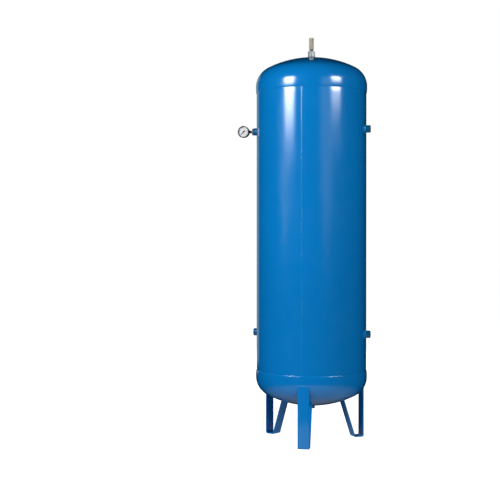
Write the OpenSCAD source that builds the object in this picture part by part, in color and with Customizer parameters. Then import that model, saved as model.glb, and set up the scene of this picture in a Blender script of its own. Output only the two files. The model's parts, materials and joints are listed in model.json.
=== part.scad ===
// Vertical air receiver tank on three strip legs, with a pressure gauge on its
// upper left port and a safety valve on its top port. Millimetres, +Z up.
// The origin is on the floor, on the vessel's axis. The side ports lie along X,
// and the front leg and the gauge's dial face towards -Y.

/* [Vessel] */
// Outside diameter of the rolled shell
shell_od = 494; // [420:1:620]
// Wall thickness of the shell and of both heads
wall_t = 3; // [2:0.5:5]
// Distance between the open edges of the two heads
seam_span = 1251; // [800:1:1600]
// Outside crown radius of a head
crown_r = 440; // [360:1:600]
// Outside knuckle radius of a head
knuckle_r = 90; // [60:1:110]
// Straight part of a head, between its knuckle and its open edge
head_skirt = 27; // [24:1:45]
// Length of shell that each head covers
lap = 20; // [10:1:22]
// Height of the vessel's lowest point above the floor
ground_gap = 156; // [120:1:260]

/* [Welds] */
// Width of the shell's long weld bead
seam_w = 7; // [4:0.5:12]
// Height of the shell's long weld bead
seam_h = 1; // [0.5:0.1:2]
// Direction of the long weld, in degrees from +X
seam_az = -88.5; // [-100:0.5:-80]
// Leg length of the fillet where a head ends on the shell
ring_leg = 4; // [2:0.5:6]
// Leg length of the fillet round a socket
socket_leg = 5; // [3:0.5:8]
// Radius of the bead where a leg meets the head
leg_bead_r = 3; // [2:0.5:5]

/* [Sockets] */
// Outside diameter of a socket
socket_od = 33; // [30:0.5:38]
// Diameter of a socket's thread at its crests
socket_bore = 24.1; // [20:0.1:25]
// Length of a socket
socket_len = 34; // [28:1:40]
// Length of a side socket outside the shell
socket_out = 20; // [16:1:24]
// Length of the top socket above the head
top_out = 7; // [4:1:16]
// Length of the drain socket below the head
drain_out = 15; // [8:1:22]
// Width of the lead-in at a socket's mouth
mouth = 1.5; // [0.5:0.5:2.5]
// Distance of the side sockets from the open edge of the nearer head
port_inset = 168; // [100:1:240]

/* [Legs] */
// Width of the leg strip
leg_w = 50; // [30:1:70]
// Thickness of the leg strip
leg_t = 5; // [3:0.5:8]
// Inside radius of the leg's bends
leg_bend = 4; // [2:0.5:10]
// Radial length of the foot
foot_len = 48; // [36:1:70]
// Distance of a leg's outer face beyond the shell
leg_out = 2; // [-10:0.5:2.5]
// Lean of a leg's inner strip from the vertical, in degrees
leg_lean = 18; // [8:1:24]
// Direction of the front leg, in degrees from +X
leg_az = -87; // [-110:1:-70]

/* [Gauge] */
// Outside diameter of the gauge case
case_od = 50; // [48:0.5:56]
// Sheet thickness of the gauge case
case_t = 1.2; // [0.8:0.1:1.5]
// Thickness of the bezel's wall
bezel_t = 1.9; // [1:0.1:3]
// Width of the square boss on the case
boss_w = 12; // [11.5:0.5:16]
// Length of the boss outside the case
boss_len = 8.5; // [5:0.5:14]
// Visible length of the stem between boss and bushing
neck_len = 6; // [3:0.5:12]
// Diameter of the stem's neck
neck_d = 10; // [9:0.1:10.4]
// Diameter of the bushing's inner thread at its crests
stem_bore = 11.44; // [10.8:0.02:12]
// Width across flats of the reducing bushing
bushing_af = 30; // [28:1:36]
// Length of the bushing's hexagon
bushing_hex = 7; // [5:0.5:12]
// Mean radius of the Bourdon tube's curve
tube_r = 17; // [16:0.5:19]
// Width of the Bourdon tube's flat section, along the gauge's axis
tube_w = 5; // [3:0.5:6]
// Thickness of the Bourdon tube's flat section
tube_t = 2; // [1.5:0.1:2.5]
// Length of the pointer from its hub to its tip
pointer_len = 17.5; // [10:0.5:20]
// Pointer's direction at rest, in degrees from +X
pointer_az = 225; // [200:1:250]

/* [Gauge movement] */
// Module of the sector and the pinion
gear_m = 0.2; // [0.18:0.01:0.21]
// Teeth on the pinion
pinion_n = 12; // [12:1:14]
// Teeth that the sector would have on a full circle
sector_n = 108; // [102:1:114]
// Thickness of the sector
sector_t = 0.8; // [0.5:0.1:1]
// Thickness of a movement plate
plate_t = 0.8; // [0.5:0.1:1]
// Clear distance between the movement plates
plate_gap = 3.7; // [3.5:0.1:4.5]

/* [Safety valve] */
// Width across flats of the valve body
valve_af = 32; // [30:1:38]
// Height of the valve body's hexagon
valve_hex = 23; // [20:1:30]
// Direction of one corner of the hexagon, in degrees from +X
valve_az = -19; // [-30:1:30]
// Thickness of the sealing ring under the valve
gasket_t = 1.5; // [1:0.5:3]
// Outside diameter of the vent knob
knob_od = 21; // [20:0.5:26]
// Length of the vent knob
knob_len = 51; // [48:1:60]
// Gap along the bonnet that shows between hexagon and knob
bonnet_show = 9.5; // [8:0.5:14]
// Outside diameter of the bonnet's sleeve, inside the knob
sleeve_od = 16; // [15:0.1:16.4]
// Diameter of the valve spindle
spindle_d = 4; // [3:0.1:5]
// Diameter of a vent hole
vent_d = 3.5; // [2:0.5:5]
// Mean radius of the valve spring
spring_r = 5; // [4.6:0.1:5.1]
// Diameter of the valve spring's wire
spring_wire = 1.8; // [1.2:0.1:2]
// Turns of the valve spring
spring_turns = 9; // [6:1:12]

/* [Fits] */
// Gap between shell and head where they lap
lap_gap = 0.2; // [0.1:0.05:0.5]
// Gap left at the root of a weld
root_gap = 0.1; // [0.05:0.05:0.3]
// Radial clearance of screwed and pressed fits
screw_fit = 0.05; // [0.02:0.01:0.1]
// Radial clearance of running fits
run_fit = 0.06; // [0.03:0.01:0.1]
// Clearance between parts that move past each other
free_gap = 0.3; // [0.3:0.05:0.5]
// Width taken off each gear tooth for backlash
backlash = 0.03; // [0.02:0.01:0.04]

/* [Hidden] */
$fn = 96;
body_fn = 360;
eps = 0.01;

// Vessel: radii and heights
shell_r = shell_od / 2;
head_ri = shell_r + lap_gap;
head_ro = head_ri + wall_t;
crown_angle = asin((head_ro - knuckle_r) / (crown_r - knuckle_r));
dish = crown_r - (crown_r - knuckle_r) * cos(crown_angle);
head_h = dish + head_skirt;
low_seam_z = ground_gap + head_h;
high_seam_z = low_seam_z + seam_span;
apex_z = high_seam_z + head_h;
low_port_z = low_seam_z + port_inset;
high_port_z = high_seam_z - port_inset;
socket_r = socket_od / 2;
crown_steps = 8;
knuckle_steps = 12;

// Legs: outer face, and the centre of the inner bend
leg_ro = shell_r + leg_out;
bend_ro = leg_bend + leg_t;
inner_bend_x = leg_ro - foot_len + bend_ro;
bend_steps = 6;

// Gauge: distances along its stem from the dial's centre, and along its axis
// from the stem, where -Y is the front
case_r = case_od / 2;
case_ri = case_r - case_t;
boss_end = case_r + boss_len;
bushing_face = boss_end + neck_len;
socket_face = bushing_face + bushing_hex;
gauge_x = -(shell_r + socket_out + socket_face);
neck_r = neck_d / 2;
stem_thread = 12;
bushing_shank = 14;
block_x = 15.5;
block_h = 12;
block_end = sqrt(pow(case_ri, 2) - pow(block_h / 2, 2)) - 0.2;
block_front = -5;
back_y = 9;
back_plate_y = block_front;
front_plate_y = back_plate_y - plate_t - plate_gap;
screw_head_h = 0.8;
dial_back_y = front_plate_y - plate_t - screw_head_h - 0.5;
dial_t = 0.6;
dial_y = dial_back_y - dial_t;
pointer_t = 0.6;
pointer_back_y = dial_y - 1.2;
pointer_hub_y = pointer_back_y - pointer_t - 0.6;
window_y = dial_y - 3.2;
window_t = 1.5;
seal_t = 1;
rim_y = window_y + seal_t;
bezel_lip = 1.1;
bezel_back_y = rim_y + 6.4;
spacer_w = 1.4;
spacer_ro = case_ri - 0.2;
window_r = case_r;

// Gauge movement: the arbor is at the dial's centre and the sector's pivot is
// towards the stem
gear_centres = gear_m * (pinion_n + sector_n) / 2;
sector_y = back_plate_y - plate_t - 2;
pinion_back_y = sector_y + 0.5;
pinion_t = sector_t + 1.1;
arbor_r = 0.6;
pivot_r = 0.7;
collet_r = 1.35;
collet_t = 0.6;
collet_y = back_plate_y - plate_t - 0.3;
tail_len = 6;
tail_az = 60;
link_t = 0.5;
link_y = sector_y + free_gap + link_t;
link_w = 2;
link_pin_r = 0.45;
pillar_x = 20;
pillar_z = 3.5;
pillar_r = 1.3;
screw_r = 0.6;
screw_head_r = 1.2;
tube_start = -12;
tube_sweep = 298;
tube_end = tube_start - tube_sweep;
tube_wall = 0.3;
tube_y = 1;
tip_w = 1.8;
tip_over = 0.4;
tail_tip = [gear_centres + tail_len * cos(tail_az), tail_len * sin(tail_az)];
link_end = [
    tube_r * cos(tube_end) + tip_w / 2 * sin(tube_end),
    tube_r * sin(tube_end) - tip_w / 2 * cos(tube_end)
];
hair_r0 = collet_r + free_gap;
hair_r1 = 4.6;
hair_turns = 3.5;
hair_t = 0.15;
hair_w = 0.4;
stud_r = 0.5;

// Safety valve: heights above the top socket's face
valve_z = apex_z + top_out;
hex_z0 = gasket_t;
hex_z1 = hex_z0 + valve_hex;
valve_shank = 16;
inlet_r = 5;
chamber_r = 9;
chamber_z = hex_z0 + 6.5;
seat_h = 1;
seat_w = 1.2;
seat_z = chamber_z + seat_h;
pad_t = 2;
disc_z0 = seat_z + pad_t;
disc_t = 4;
disc_z1 = disc_z0 + disc_t;
disc_r = 7.2;
disc_boss_h = 3;
disc_boss_r = spring_r - spring_wire / 2 - free_gap;
spigot_z = disc_z1 + 2;
neck_top = hex_z1 + bonnet_show - free_gap;
knob_z0 = hex_z1 + bonnet_show;
knob_z1 = knob_z0 + knob_len;
recess_h = 4;
plate_h = 4;
knob_in_z = knob_z1 - recess_h - plate_h;
sleeve_z = knob_in_z - 2;
sleeve_r = sleeve_od / 2;
bonnet_ri = sleeve_r - 1.6;
bonnet_neck_r = sleeve_r + 0.6;
vent_z = hex_z1 + bonnet_show / 2;
vents = 4;
adjuster_h = 12;
adjuster_z = sleeve_z - 3 - adjuster_h;
spindle_r = spindle_d / 2;
nut_af = 8;
nut_h = 3;
knob_thread_h = 14;
flutes = 30;
flute_r = 0.6;

// ---------------------------------------------------------------- helpers

function reversed(v) = [for (i = [len(v) - 1:-1:0]) v[i]];

function polar(r, a) = [r * cos(a), r * sin(a)];

// Points of an arc about a centre, from angle a0 to angle a1
function arc(centre, r, a0, a1, steps) =
    [for (i = [0:steps]) centre + polar(r, a0 + (a1 - a0) * i / steps)];

// One side of a head from its apex to its open edge at z = 0, moved inwards by inset
function head_side(inset) = concat(
    arc([0, head_h - crown_r], crown_r - inset, 90, 90 - crown_angle, crown_steps),
    arc([head_ro - knuckle_r, head_skirt], knuckle_r - inset, 90 - crown_angle, 0, knuckle_steps),
    [[head_ro - inset, 0]]
);

// Solid that fills a head up to a surface grown outwards by grow
module head_fill(grow) {
    rotate_extrude($fn = body_fn) polygon(concat(head_side(-grow), [[0, 0]]));
}

module head_wall() {
    rotate_extrude($fn = body_fn) polygon(concat(head_side(0), reversed(head_side(wall_t))));
}

module at_top() {
    translate([0, 0, high_seam_z]) children();
}

module at_bottom() {
    translate([0, 0, low_seam_z]) mirror([0, 0, 1]) children();
}

// Turns children's +Z outwards along +X (side 1) or -X (side -1) at height z
module at_port(side, z) {
    translate([0, 0, z]) rotate([0, 90 * side, 0]) children();
}

module hexagon(af, h) {
    cylinder(r = af / 2 / cos(30), h = h, $fn = 6);
}

// Hexagon with both ends turned down to its flats
module turned_hex(af, h) {
    rim = af / 2 / cos(30) - af / 2;
    drop = rim * tan(30);
    intersection() {
        hexagon(af, h);
        cylinder(r1 = af / 2, r2 = af / 2 + h / tan(30), h = h);
        cylinder(r1 = af / 2 + h / tan(30), r2 = af / 2, h = h);
        translate([0, 0, -drop]) cylinder(r = af, h = h + 2 * drop);
    }
}

// ---------------------------------------------------------------- vessel

module shell() {
    color([0.02, 0.38, 0.72])
    difference() {
        translate([0, 0, low_seam_z - lap])
            cylinder(r = shell_r, h = seam_span + 2 * lap, $fn = body_fn);
        translate([0, 0, low_seam_z - lap - 1])
            cylinder(r = shell_r - wall_t, h = seam_span + 2 * lap + 2, $fn = body_fn);
        for (z = [low_port_z, high_port_z])
            for (side = [-1, 1])
                at_port(side, z) cylinder(r = socket_r + root_gap, h = shell_r + 10);
    }
}

module shell_weld() {
    bead_z = low_seam_z + ring_leg + root_gap;
    bead_len = seam_span - 2 * (ring_leg + root_gap);
    color([0.1, 0.5, 0.82])
    intersection() {
        translate([0, 0, bead_z]) rotate_extrude($fn = body_fn)
            translate([shell_r, 0]) square([seam_h, bead_len]);
        rotate([0, 0, seam_az]) translate([0, -seam_w / 2, bead_z - 1])
            cube([shell_r + 2 * seam_h, seam_w, bead_len + 2]);
    }
}

module top_head() {
    color([0.02, 0.4, 0.74])
    difference() {
        at_top() head_wall();
        translate([0, 0, apex_z - crown_r / 4])
            cylinder(r = socket_r + root_gap, h = crown_r / 2);
    }
}

module bottom_head() {
    color([0.02, 0.4, 0.74])
    difference() {
        at_bottom() head_wall();
        translate([0, 0, ground_gap - crown_r / 4])
            cylinder(r = socket_r + root_gap, h = crown_r / 2);
    }
}

// Fillet on the shell along a head's open edge
module ring_fillet() {
    rotate_extrude($fn = body_fn)
        polygon([[shell_r, 0], [head_ro, 0], [shell_r, -ring_leg]]);
}

module top_ring_weld() {
    color([0.1, 0.5, 0.82]) at_top() ring_fillet();
}

module bottom_ring_weld() {
    color([0.1, 0.5, 0.82]) at_bottom() ring_fillet();
}

// Threaded socket with its mouth at z = 0 and its body below
module socket() {
    translate([0, 0, -socket_len])
    difference() {
        cylinder(r = socket_r, h = socket_len);
        translate([0, 0, -1]) cylinder(d = socket_bore, h = socket_len + 2);
        translate([0, 0, socket_len - mouth])
            cylinder(d1 = socket_bore, d2 = socket_bore + 4 * mouth, h = 2 * mouth);
    }
}

module side_socket(side, z) {
    color([0.02, 0.3, 0.6]) at_port(side, z) translate([0, 0, shell_r + socket_out]) socket();
}

module gauge_socket() {
    side_socket(-1, high_port_z);
}

module outlet_socket() {
    side_socket(1, high_port_z);
}

module inlet_socket() {
    side_socket(-1, low_port_z);
}

module spare_socket() {
    side_socket(1, low_port_z);
}

module top_socket() {
    color([0.02, 0.3, 0.6]) translate([0, 0, apex_z + top_out]) socket();
}

module drain_socket() {
    color([0.02, 0.3, 0.6]) translate([0, 0, ground_gap - drain_out]) mirror([0, 0, 1]) socket();
}

// Fillet ring round a socket, on a wall at z = 0, with stock below the wall
module fillet_stock() {
    dip = 2;
    difference() {
        translate([0, 0, -dip])
            cylinder(r1 = socket_r + socket_leg + dip, r2 = socket_r, h = socket_leg + dip);
        translate([0, 0, -dip - 1]) cylinder(r = socket_r + root_gap, h = socket_leg + dip + 2);
    }
}

module socket_welds() {
    color([0.1, 0.5, 0.82]) {
        for (z = [low_port_z, high_port_z])
            for (side = [-1, 1])
                difference() {
                    at_port(side, z) translate([0, 0, shell_r]) fillet_stock();
                    translate([0, 0, z - socket_od])
                        cylinder(r = shell_r + root_gap, h = 2 * socket_od, $fn = body_fn);
                }
        difference() {
            translate([0, 0, apex_z]) fillet_stock();
            at_top() head_fill(root_gap);
        }
        difference() {
            translate([0, 0, ground_gap]) mirror([0, 0, 1]) fillet_stock();
            at_bottom() head_fill(root_gap);
        }
    }
}

// ---------------------------------------------------------------- legs

// Height at which the lower head's knuckle has the radius r
function knuckle_z(r) =
    low_seam_z - head_skirt - sqrt(pow(knuckle_r, 2) - pow(r - head_ro + knuckle_r, 2));

// One face of the bent strip, in the plane of radius and height, where bend is
// the radius that this face has round the two bends
function strip_side(bend) = concat(
    [[leg_ro - bend_ro + bend, knuckle_z(leg_ro)]],
    arc([leg_ro - bend_ro, bend_ro], bend, 0, -90, bend_steps),
    arc([inner_bend_x, bend_ro], bend, -90, leg_lean - 180, bend_steps),
    [slope_start(bend) + slope_len * slope_dir]
);

slope_dir = [-sin(leg_lean), cos(leg_lean)];
slope_len = (ground_gap + dish / 2) / cos(leg_lean);

function slope_start(bend) = [inner_bend_x, bend_ro] + polar(bend, leg_lean - 180);

module leg_strip() {
    difference() {
        rotate([90, 0, 0]) linear_extrude(leg_w, center = true)
            polygon(concat(strip_side(bend_ro), reversed(strip_side(leg_bend))));
        at_bottom() head_fill(root_gap);
    }
}

module leg(turn) {
    color([0.02, 0.33, 0.62]) rotate([0, 0, leg_az + turn]) leg_strip();
}

module front_leg() {
    leg(0);
}

module right_leg() {
    leg(120);
}

module left_leg() {
    leg(240);
}

// Point where a sloping face of the strip meets the head's crown
function crown_meet(bend) = let (
    from_centre = slope_start(bend) - [0, ground_gap + crown_r],
    b = from_centre * slope_dir,
    c = from_centre * from_centre - pow(crown_r, 2)
) slope_start(bend) + (-b - sqrt(b * b - c)) * slope_dir;

module straight_bead(at) {
    translate([at.x, 0, at.y]) rotate([90, 0, 0])
        cylinder(r = leg_bead_r, h = leg_w - 2, center = true);
}

module leg_welds() {
    color([0.1, 0.5, 0.82])
    for (turn = [0, 120, 240])
        rotate([0, 0, leg_az + turn])
        difference() {
            union() {
                straight_bead([leg_ro, knuckle_z(leg_ro)]);
                straight_bead(crown_meet(bend_ro));
                straight_bead(crown_meet(leg_bend));
            }
            at_bottom() head_fill(root_gap);
            rotate([90, 0, 0]) linear_extrude(leg_w, center = true)
                polygon(concat(strip_side(bend_ro), reversed(strip_side(leg_bend))));
        }
}

// ---------------------------------------------------------------- gauge

module in_gauge() {
    translate([gauge_x, 0, high_port_z]) children();
}

// Lays a flat shape upright behind the dial: its back at y, growing forwards
module upright(y) {
    translate([0, y, 0]) rotate([90, 0, 0]) children();
}

// Turns children's +Z along the stem, from distance x
module along_stem(x) {
    translate([x, 0, 0]) rotate([0, 90, 0]) children();
}

module gauge_bushing() {
    color([0.7, 0.74, 0.75]) in_gauge()
    difference() {
        union() {
            along_stem(bushing_face) rotate([0, 0, 30]) turned_hex(bushing_af, bushing_hex);
            along_stem(socket_face - eps)
                cylinder(r = socket_bore / 2 - screw_fit, h = bushing_shank);
        }
        along_stem(bushing_face - 1) cylinder(d = stem_bore, h = bushing_hex + bushing_shank + 2);
    }
}

module tube_section(grow) {
    half = (tube_w - tube_t) / 2;
    translate([tube_r, 0]) {
        for (s = [-1, 1]) translate([0, s * half]) circle(d = tube_t + 2 * grow);
        square([tube_t + 2 * grow, 2 * half], center = true);
    }
}

module tube_curve(grow, hollow) {
    upright(tube_y) rotate([0, 0, tube_end]) rotate_extrude(angle = tube_sweep)
        difference() {
            tube_section(grow);
            if (hollow) tube_section(-tube_wall);
        }
}

module gauge_stem() {
    color([0.72, 0.62, 0.35]) in_gauge()
    difference() {
        union() {
            translate([block_x, block_front, -block_h / 2])
                cube([block_end - block_x, back_y - case_t - block_front, block_h]);
            along_stem(block_end - eps) cylinder(r = neck_r, h = bushing_face - block_end + 2 * eps);
            along_stem(bushing_face) cylinder(r = stem_bore / 2 - screw_fit, h = stem_thread);
        }
        along_stem(tube_r - 1) cylinder(r = 1.2, h = bushing_face + stem_thread);
        translate([tube_r - 0.3, tube_y, -4]) cylinder(r = 0.7, h = 4);
        tube_curve(screw_fit, false);
        for (s = [-1, 1]) {
            translate([pillar_x, block_front + 3.2, s * pillar_z]) rotate([90, 0, 0])
                cylinder(r = screw_r + screw_fit, h = 4);
            translate([pillar_x, back_y, s * pillar_z]) rotate([90, 0, 0])
                cylinder(r = screw_r + screw_fit, h = 6);
        }
    }
}

module gauge_case() {
    color([0.1, 0.1, 0.11]) in_gauge()
    difference() {
        union() {
            upright(back_y) cylinder(r = case_r, h = back_y - rim_y);
            translate([case_ri, -boss_w / 2, -boss_w / 2]) cube([boss_end - case_ri, boss_w, boss_w]);
        }
        upright(back_y - case_t) cylinder(r = case_ri, h = back_y - case_t - dial_back_y - 0.8);
        upright(dial_back_y) cylinder(r = case_ri, h = dial_back_y - rim_y + 1);
        upright(2) cylinder(r = case_ri - 1.4, h = 2 - rim_y + 1);
        along_stem(block_x) cylinder(r = neck_r + screw_fit, h = boss_end);
        for (s = [-1, 1])
            translate([pillar_x, back_y + 1, s * pillar_z]) rotate([90, 0, 0])
                cylinder(r = screw_r + screw_fit, h = case_t + 2);
    }
}

// Round-headed screw with its head's seat at z = 0 and its shank above
module small_screw(shank) {
    translate([0, 0, -screw_head_h]) difference() {
        cylinder(r = screw_head_r, h = screw_head_h);
        translate([-screw_head_r - 1, -0.2, -1]) cube([2 * screw_head_r + 2, 0.4, 1.35]);
    }
    translate([0, 0, -eps]) cylinder(r = screw_r, h = shank + eps);
}

module gauge_case_screws() {
    color([0.75, 0.75, 0.76]) in_gauge()
    for (s = [-1, 1])
        translate([pillar_x, back_y, s * pillar_z]) rotate([90, 0, 0]) small_screw(5.5);
}

module movement_screws() {
    color([0.75, 0.75, 0.76]) in_gauge()
    for (s = [-1, 1])
        translate([pillar_x, front_plate_y - plate_t, s * pillar_z]) rotate([-90, 0, 0])
            small_screw(2 * plate_t + plate_gap + 3);
}

module gauge_bezel() {
    lip_ri = spacer_ro - spacer_w - 0.3;
    color([0.08, 0.08, 0.09]) in_gauge()
    upright(0) rotate_extrude() polygon([
        [window_r + screw_fit, -bezel_back_y],
        [window_r + bezel_t, -bezel_back_y],
        [window_r + bezel_t, window_t - window_y + bezel_lip - 0.8],
        [window_r + bezel_t - 0.8, window_t - window_y + bezel_lip],
        [lip_ri + 0.8, window_t - window_y + bezel_lip],
        [lip_ri, window_t - window_y],
        [window_r + screw_fit, window_t - window_y]
    ]);
}

module gauge_window() {
    color([0.85, 0.9, 0.92, 0.4]) in_gauge()
    upright(window_y) cylinder(r = window_r, h = window_t);
}

module gauge_seal() {
    color([0.05, 0.05, 0.05]) in_gauge()
    upright(rim_y) difference() {
        cylinder(r = case_r, h = seal_t);
        translate([0, 0, -1]) cylinder(r = case_ri, h = seal_t + 2);
    }
}

module gauge_spacer() {
    color([0.9, 0.9, 0.9]) in_gauge()
    upright(dial_y) difference() {
        cylinder(r = spacer_ro, h = dial_y - window_y);
        translate([0, 0, -1]) cylinder(r = spacer_ro - spacer_w, h = dial_y - window_y + 2);
    }
}

module gauge_dial() {
    color([0.9, 0.9, 0.9]) in_gauge()
    upright(dial_back_y) difference() {
        cylinder(r = spacer_ro, h = dial_t);
        translate([0, 0, -1]) cylinder(r = 1.5, h = dial_t + 2);
    }
}

module gauge_pointer() {
    hub_r = 2.6;
    tail = 9;
    color([0.08, 0.08, 0.08]) in_gauge()
    difference() {
        union() {
            upright(pointer_back_y) linear_extrude(pointer_t) rotate([0, 0, pointer_az]) {
                circle(r = hub_r);
                polygon([[0, 1.2], [pointer_len, 0.35], [pointer_len, -0.35], [0, -1.2]]);
                polygon([[0, 1.2], [-tail, 1.7], [-tail, -1.7], [0, -1.2]]);
            }
            upright(pointer_back_y - pointer_t + eps) cylinder(r = 1.6, h = 0.6);
        }
        upright(0) cylinder(r = arbor_r + 0.02, h = -pointer_hub_y + 1);
    }
}

// Flank points of one tooth of n teeth, from the root to the tip, on the +angle side
function tooth_side(n, tip) = let (
    rp = gear_m * n / 2,
    rb = rp * cos(20),
    root = rp - 1.25 * gear_m,
    half = 90 / n - backlash / 2 / rp * 180 / PI,
    turn = half + (tan(20) - 20 * PI / 180) * 180 / PI
) concat(
    root < rb ? [polar(root, turn)] : [],
    [for (i = [0:4]) let (
        r = max(rb, root) + (rp + tip * gear_m - max(rb, root)) * i / 4,
        pressure = acos(min(1, rb / r))
    ) polar(r, turn - (tan(pressure) - pressure * PI / 180) * 180 / PI)]
);

function mirrored(v) = [for (p = v) [p.x, -p.y]];

module tooth(n, tip) {
    inner = [[gear_m * n / 2 - 2 * gear_m, 0]];
    polygon(concat(inner, mirrored(tooth_side(n, tip)), reversed(tooth_side(n, tip))));
}

module pinion_arbor() {
    color([0.78, 0.66, 0.35]) in_gauge() {
        upright(pinion_back_y) linear_extrude(pinion_t) union() {
            circle(r = gear_m * pinion_n / 2 - 1.25 * gear_m);
            for (i = [0:pinion_n - 1])
                rotate([0, 0, (i + 0.5) * 360 / pinion_n]) tooth(pinion_n, 1);
        }
        upright(back_plate_y - 0.1) cylinder(r = arbor_r, h = back_plate_y - 0.1 - pointer_hub_y);
        upright(collet_y) cylinder(r = collet_r, h = collet_t);
    }
}

module sector_gear() {
    root_r = gear_m * sector_n / 2 - 1.25 * gear_m;
    step = 360 / sector_n;
    color([0.78, 0.66, 0.35]) in_gauge() {
        translate([gear_centres, 0, 0]) {
            upright(sector_y) linear_extrude(sector_t) difference() {
                union() {
                    circle(r = 2.2);
                    polygon(concat([[0, 0]], arc([0, 0], root_r, 180 + 2.5 * step, 180 - 11.5 * step, 14)));
                    for (i = [-2:11])
                        rotate([0, 0, 180 - i * step]) tooth(sector_n, 0.8);
                    rotate([0, 0, tail_az]) {
                        translate([0, -1.1]) square([tail_len, 2.2]);
                        translate([tail_len, 0]) circle(r = 1.1);
                    }
                }
                rotate([0, 0, tail_az]) translate([tail_len, 0]) circle(r = link_pin_r + run_fit);
                polygon(concat(
                    arc([0, 0], 3.4, 180 + 0.5 * step, 180 - 9.5 * step, 10),
                    reversed(arc([0, 0], root_r - 1.6, 180 + 0.5 * step, 180 - 9.5 * step, 10))
                ));
            }
            upright(back_plate_y - 0.1)
                cylinder(r = pivot_r, h = 2 * plate_t + plate_gap - 0.2);
        }
    }
}

module gauge_link() {
    reach = norm(link_end - tail_tip);
    lean = atan2(link_end.y - tail_tip.y, link_end.x - tail_tip.x);
    color([0.7, 0.7, 0.72]) in_gauge()
    translate([tail_tip.x, 0, tail_tip.y]) {
        upright(link_y) linear_extrude(link_t) rotate([0, 0, lean]) difference() {
            union() {
                circle(d = link_w);
                translate([reach, 0]) circle(d = link_w);
                translate([0, -link_w / 2]) square([reach, link_w]);
            }
            translate([reach, 0]) circle(r = link_pin_r + run_fit);
        }
        upright(link_y - link_t + eps) cylinder(r = link_pin_r, h = free_gap + sector_t + 0.2);
    }
}

module bourdon_tube() {
    color([0.75, 0.55, 0.35]) in_gauge() tube_curve(0, true);
}

module tube_tip() {
    back = tube_y + tube_w / 2;
    color([0.75, 0.55, 0.35]) in_gauge()
    upright(back) linear_extrude(back - link_y - free_gap)
        rotate([0, 0, tube_end]) translate([tube_r - tube_t / 2 - tip_over, -tip_w])
            square([tube_t + 2 * tip_over, tip_w]);
}

module plate_shape() {
    difference() {
        union() {
            circle(r = 6);
            translate([0, -5]) square([case_ri - 1.5, 10]);
        }
        circle(r = arbor_r + run_fit);
        translate([gear_centres, 0]) circle(r = pivot_r + run_fit);
        for (s = [-1, 1]) translate([pillar_x, s * pillar_z]) circle(r = screw_r + screw_fit);
    }
}

module front_plate() {
    color([0.8, 0.7, 0.4]) in_gauge() upright(front_plate_y) linear_extrude(plate_t) plate_shape();
}

module back_plate() {
    color([0.8, 0.7, 0.4]) in_gauge() {
        upright(back_plate_y) linear_extrude(plate_t) plate_shape();
        translate([-hair_r1 - stud_r, 0, 0]) upright(back_plate_y - plate_t + eps)
            cylinder(r = stud_r - 0.1, h = 1);
    }
}

module plate_pillars() {
    color([0.8, 0.7, 0.4]) in_gauge()
    for (s = [-1, 1])
        translate([pillar_x, 0, s * pillar_z]) upright(back_plate_y - plate_t) difference() {
            cylinder(r = pillar_r, h = plate_gap);
            translate([0, 0, -1]) cylinder(r = screw_r + screw_fit, h = plate_gap + 2);
        }
}

module hairspring() {
    steps = 72;
    inner = [for (i = [0:steps]) polar(
        hair_r0 + (hair_r1 - hair_r0) * i / steps, 360 * hair_turns * i / steps
    )];
    outer = [for (i = [0:steps]) polar(
        hair_r0 + hair_t + (hair_r1 - hair_r0) * i / steps, 360 * hair_turns * i / steps
    )];
    color([0.6, 0.6, 0.65]) in_gauge()
    upright(collet_y - 0.1) linear_extrude(hair_w) polygon(concat(outer, reversed(inner)));
}

// ---------------------------------------------------------------- safety valve

module in_valve() {
    translate([0, 0, valve_z]) children();
}

module valve_gasket() {
    color([0.72, 0.45, 0.3]) in_valve() difference() {
        cylinder(r = socket_r - 0.8, h = gasket_t);
        translate([0, 0, -1]) cylinder(r = socket_bore / 2 + mouth, h = gasket_t + 2);
    }
}

module valve_body() {
    color([0.8, 0.85, 0.87]) in_valve() difference() {
        union() {
            translate([0, 0, hex_z0]) rotate([0, 0, valve_az]) turned_hex(valve_af, valve_hex);
            translate([0, 0, -valve_shank])
                cylinder(r = socket_bore / 2 - screw_fit, h = valve_shank + hex_z0 + eps);
        }
        translate([0, 0, -valve_shank - 1]) cylinder(r = inlet_r, h = valve_shank + hex_z1);
        difference() {
            translate([0, 0, chamber_z]) cylinder(r = chamber_r, h = valve_hex);
            cylinder(r = inlet_r + seat_w, h = seat_z);
        }
    }
}

module valve_pad() {
    color([0.1, 0.1, 0.1]) in_valve() translate([0, 0, seat_z])
        cylinder(r = disc_r - 0.4, h = pad_t);
}

module valve_disc() {
    color([0.78, 0.66, 0.35]) in_valve() translate([0, 0, disc_z0]) difference() {
        union() {
            cylinder(r = disc_r, h = disc_t);
            cylinder(r = disc_boss_r, h = disc_t + disc_boss_h);
        }
        translate([0, 0, 1.5]) cylinder(r = spindle_r + screw_fit, h = disc_t + disc_boss_h);
    }
}

module valve_bonnet() {
    color([0.82, 0.86, 0.88]) in_valve() difference() {
        union() {
            translate([0, 0, spigot_z]) cylinder(r = chamber_r - screw_fit, h = hex_z1 - spigot_z);
            translate([0, 0, hex_z1 - eps]) cylinder(r = bonnet_neck_r, h = neck_top - hex_z1 + eps);
            translate([0, 0, neck_top - eps]) cylinder(r = sleeve_r, h = sleeve_z - neck_top + eps);
        }
        translate([0, 0, spigot_z - 1]) cylinder(r = bonnet_ri, h = sleeve_z);
        for (i = [0:vents - 1])
            translate([0, 0, vent_z]) rotate([90, 0, valve_az + 15 + i * 360 / vents])
                cylinder(d = vent_d, h = 2 * sleeve_r);
    }
}

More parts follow.
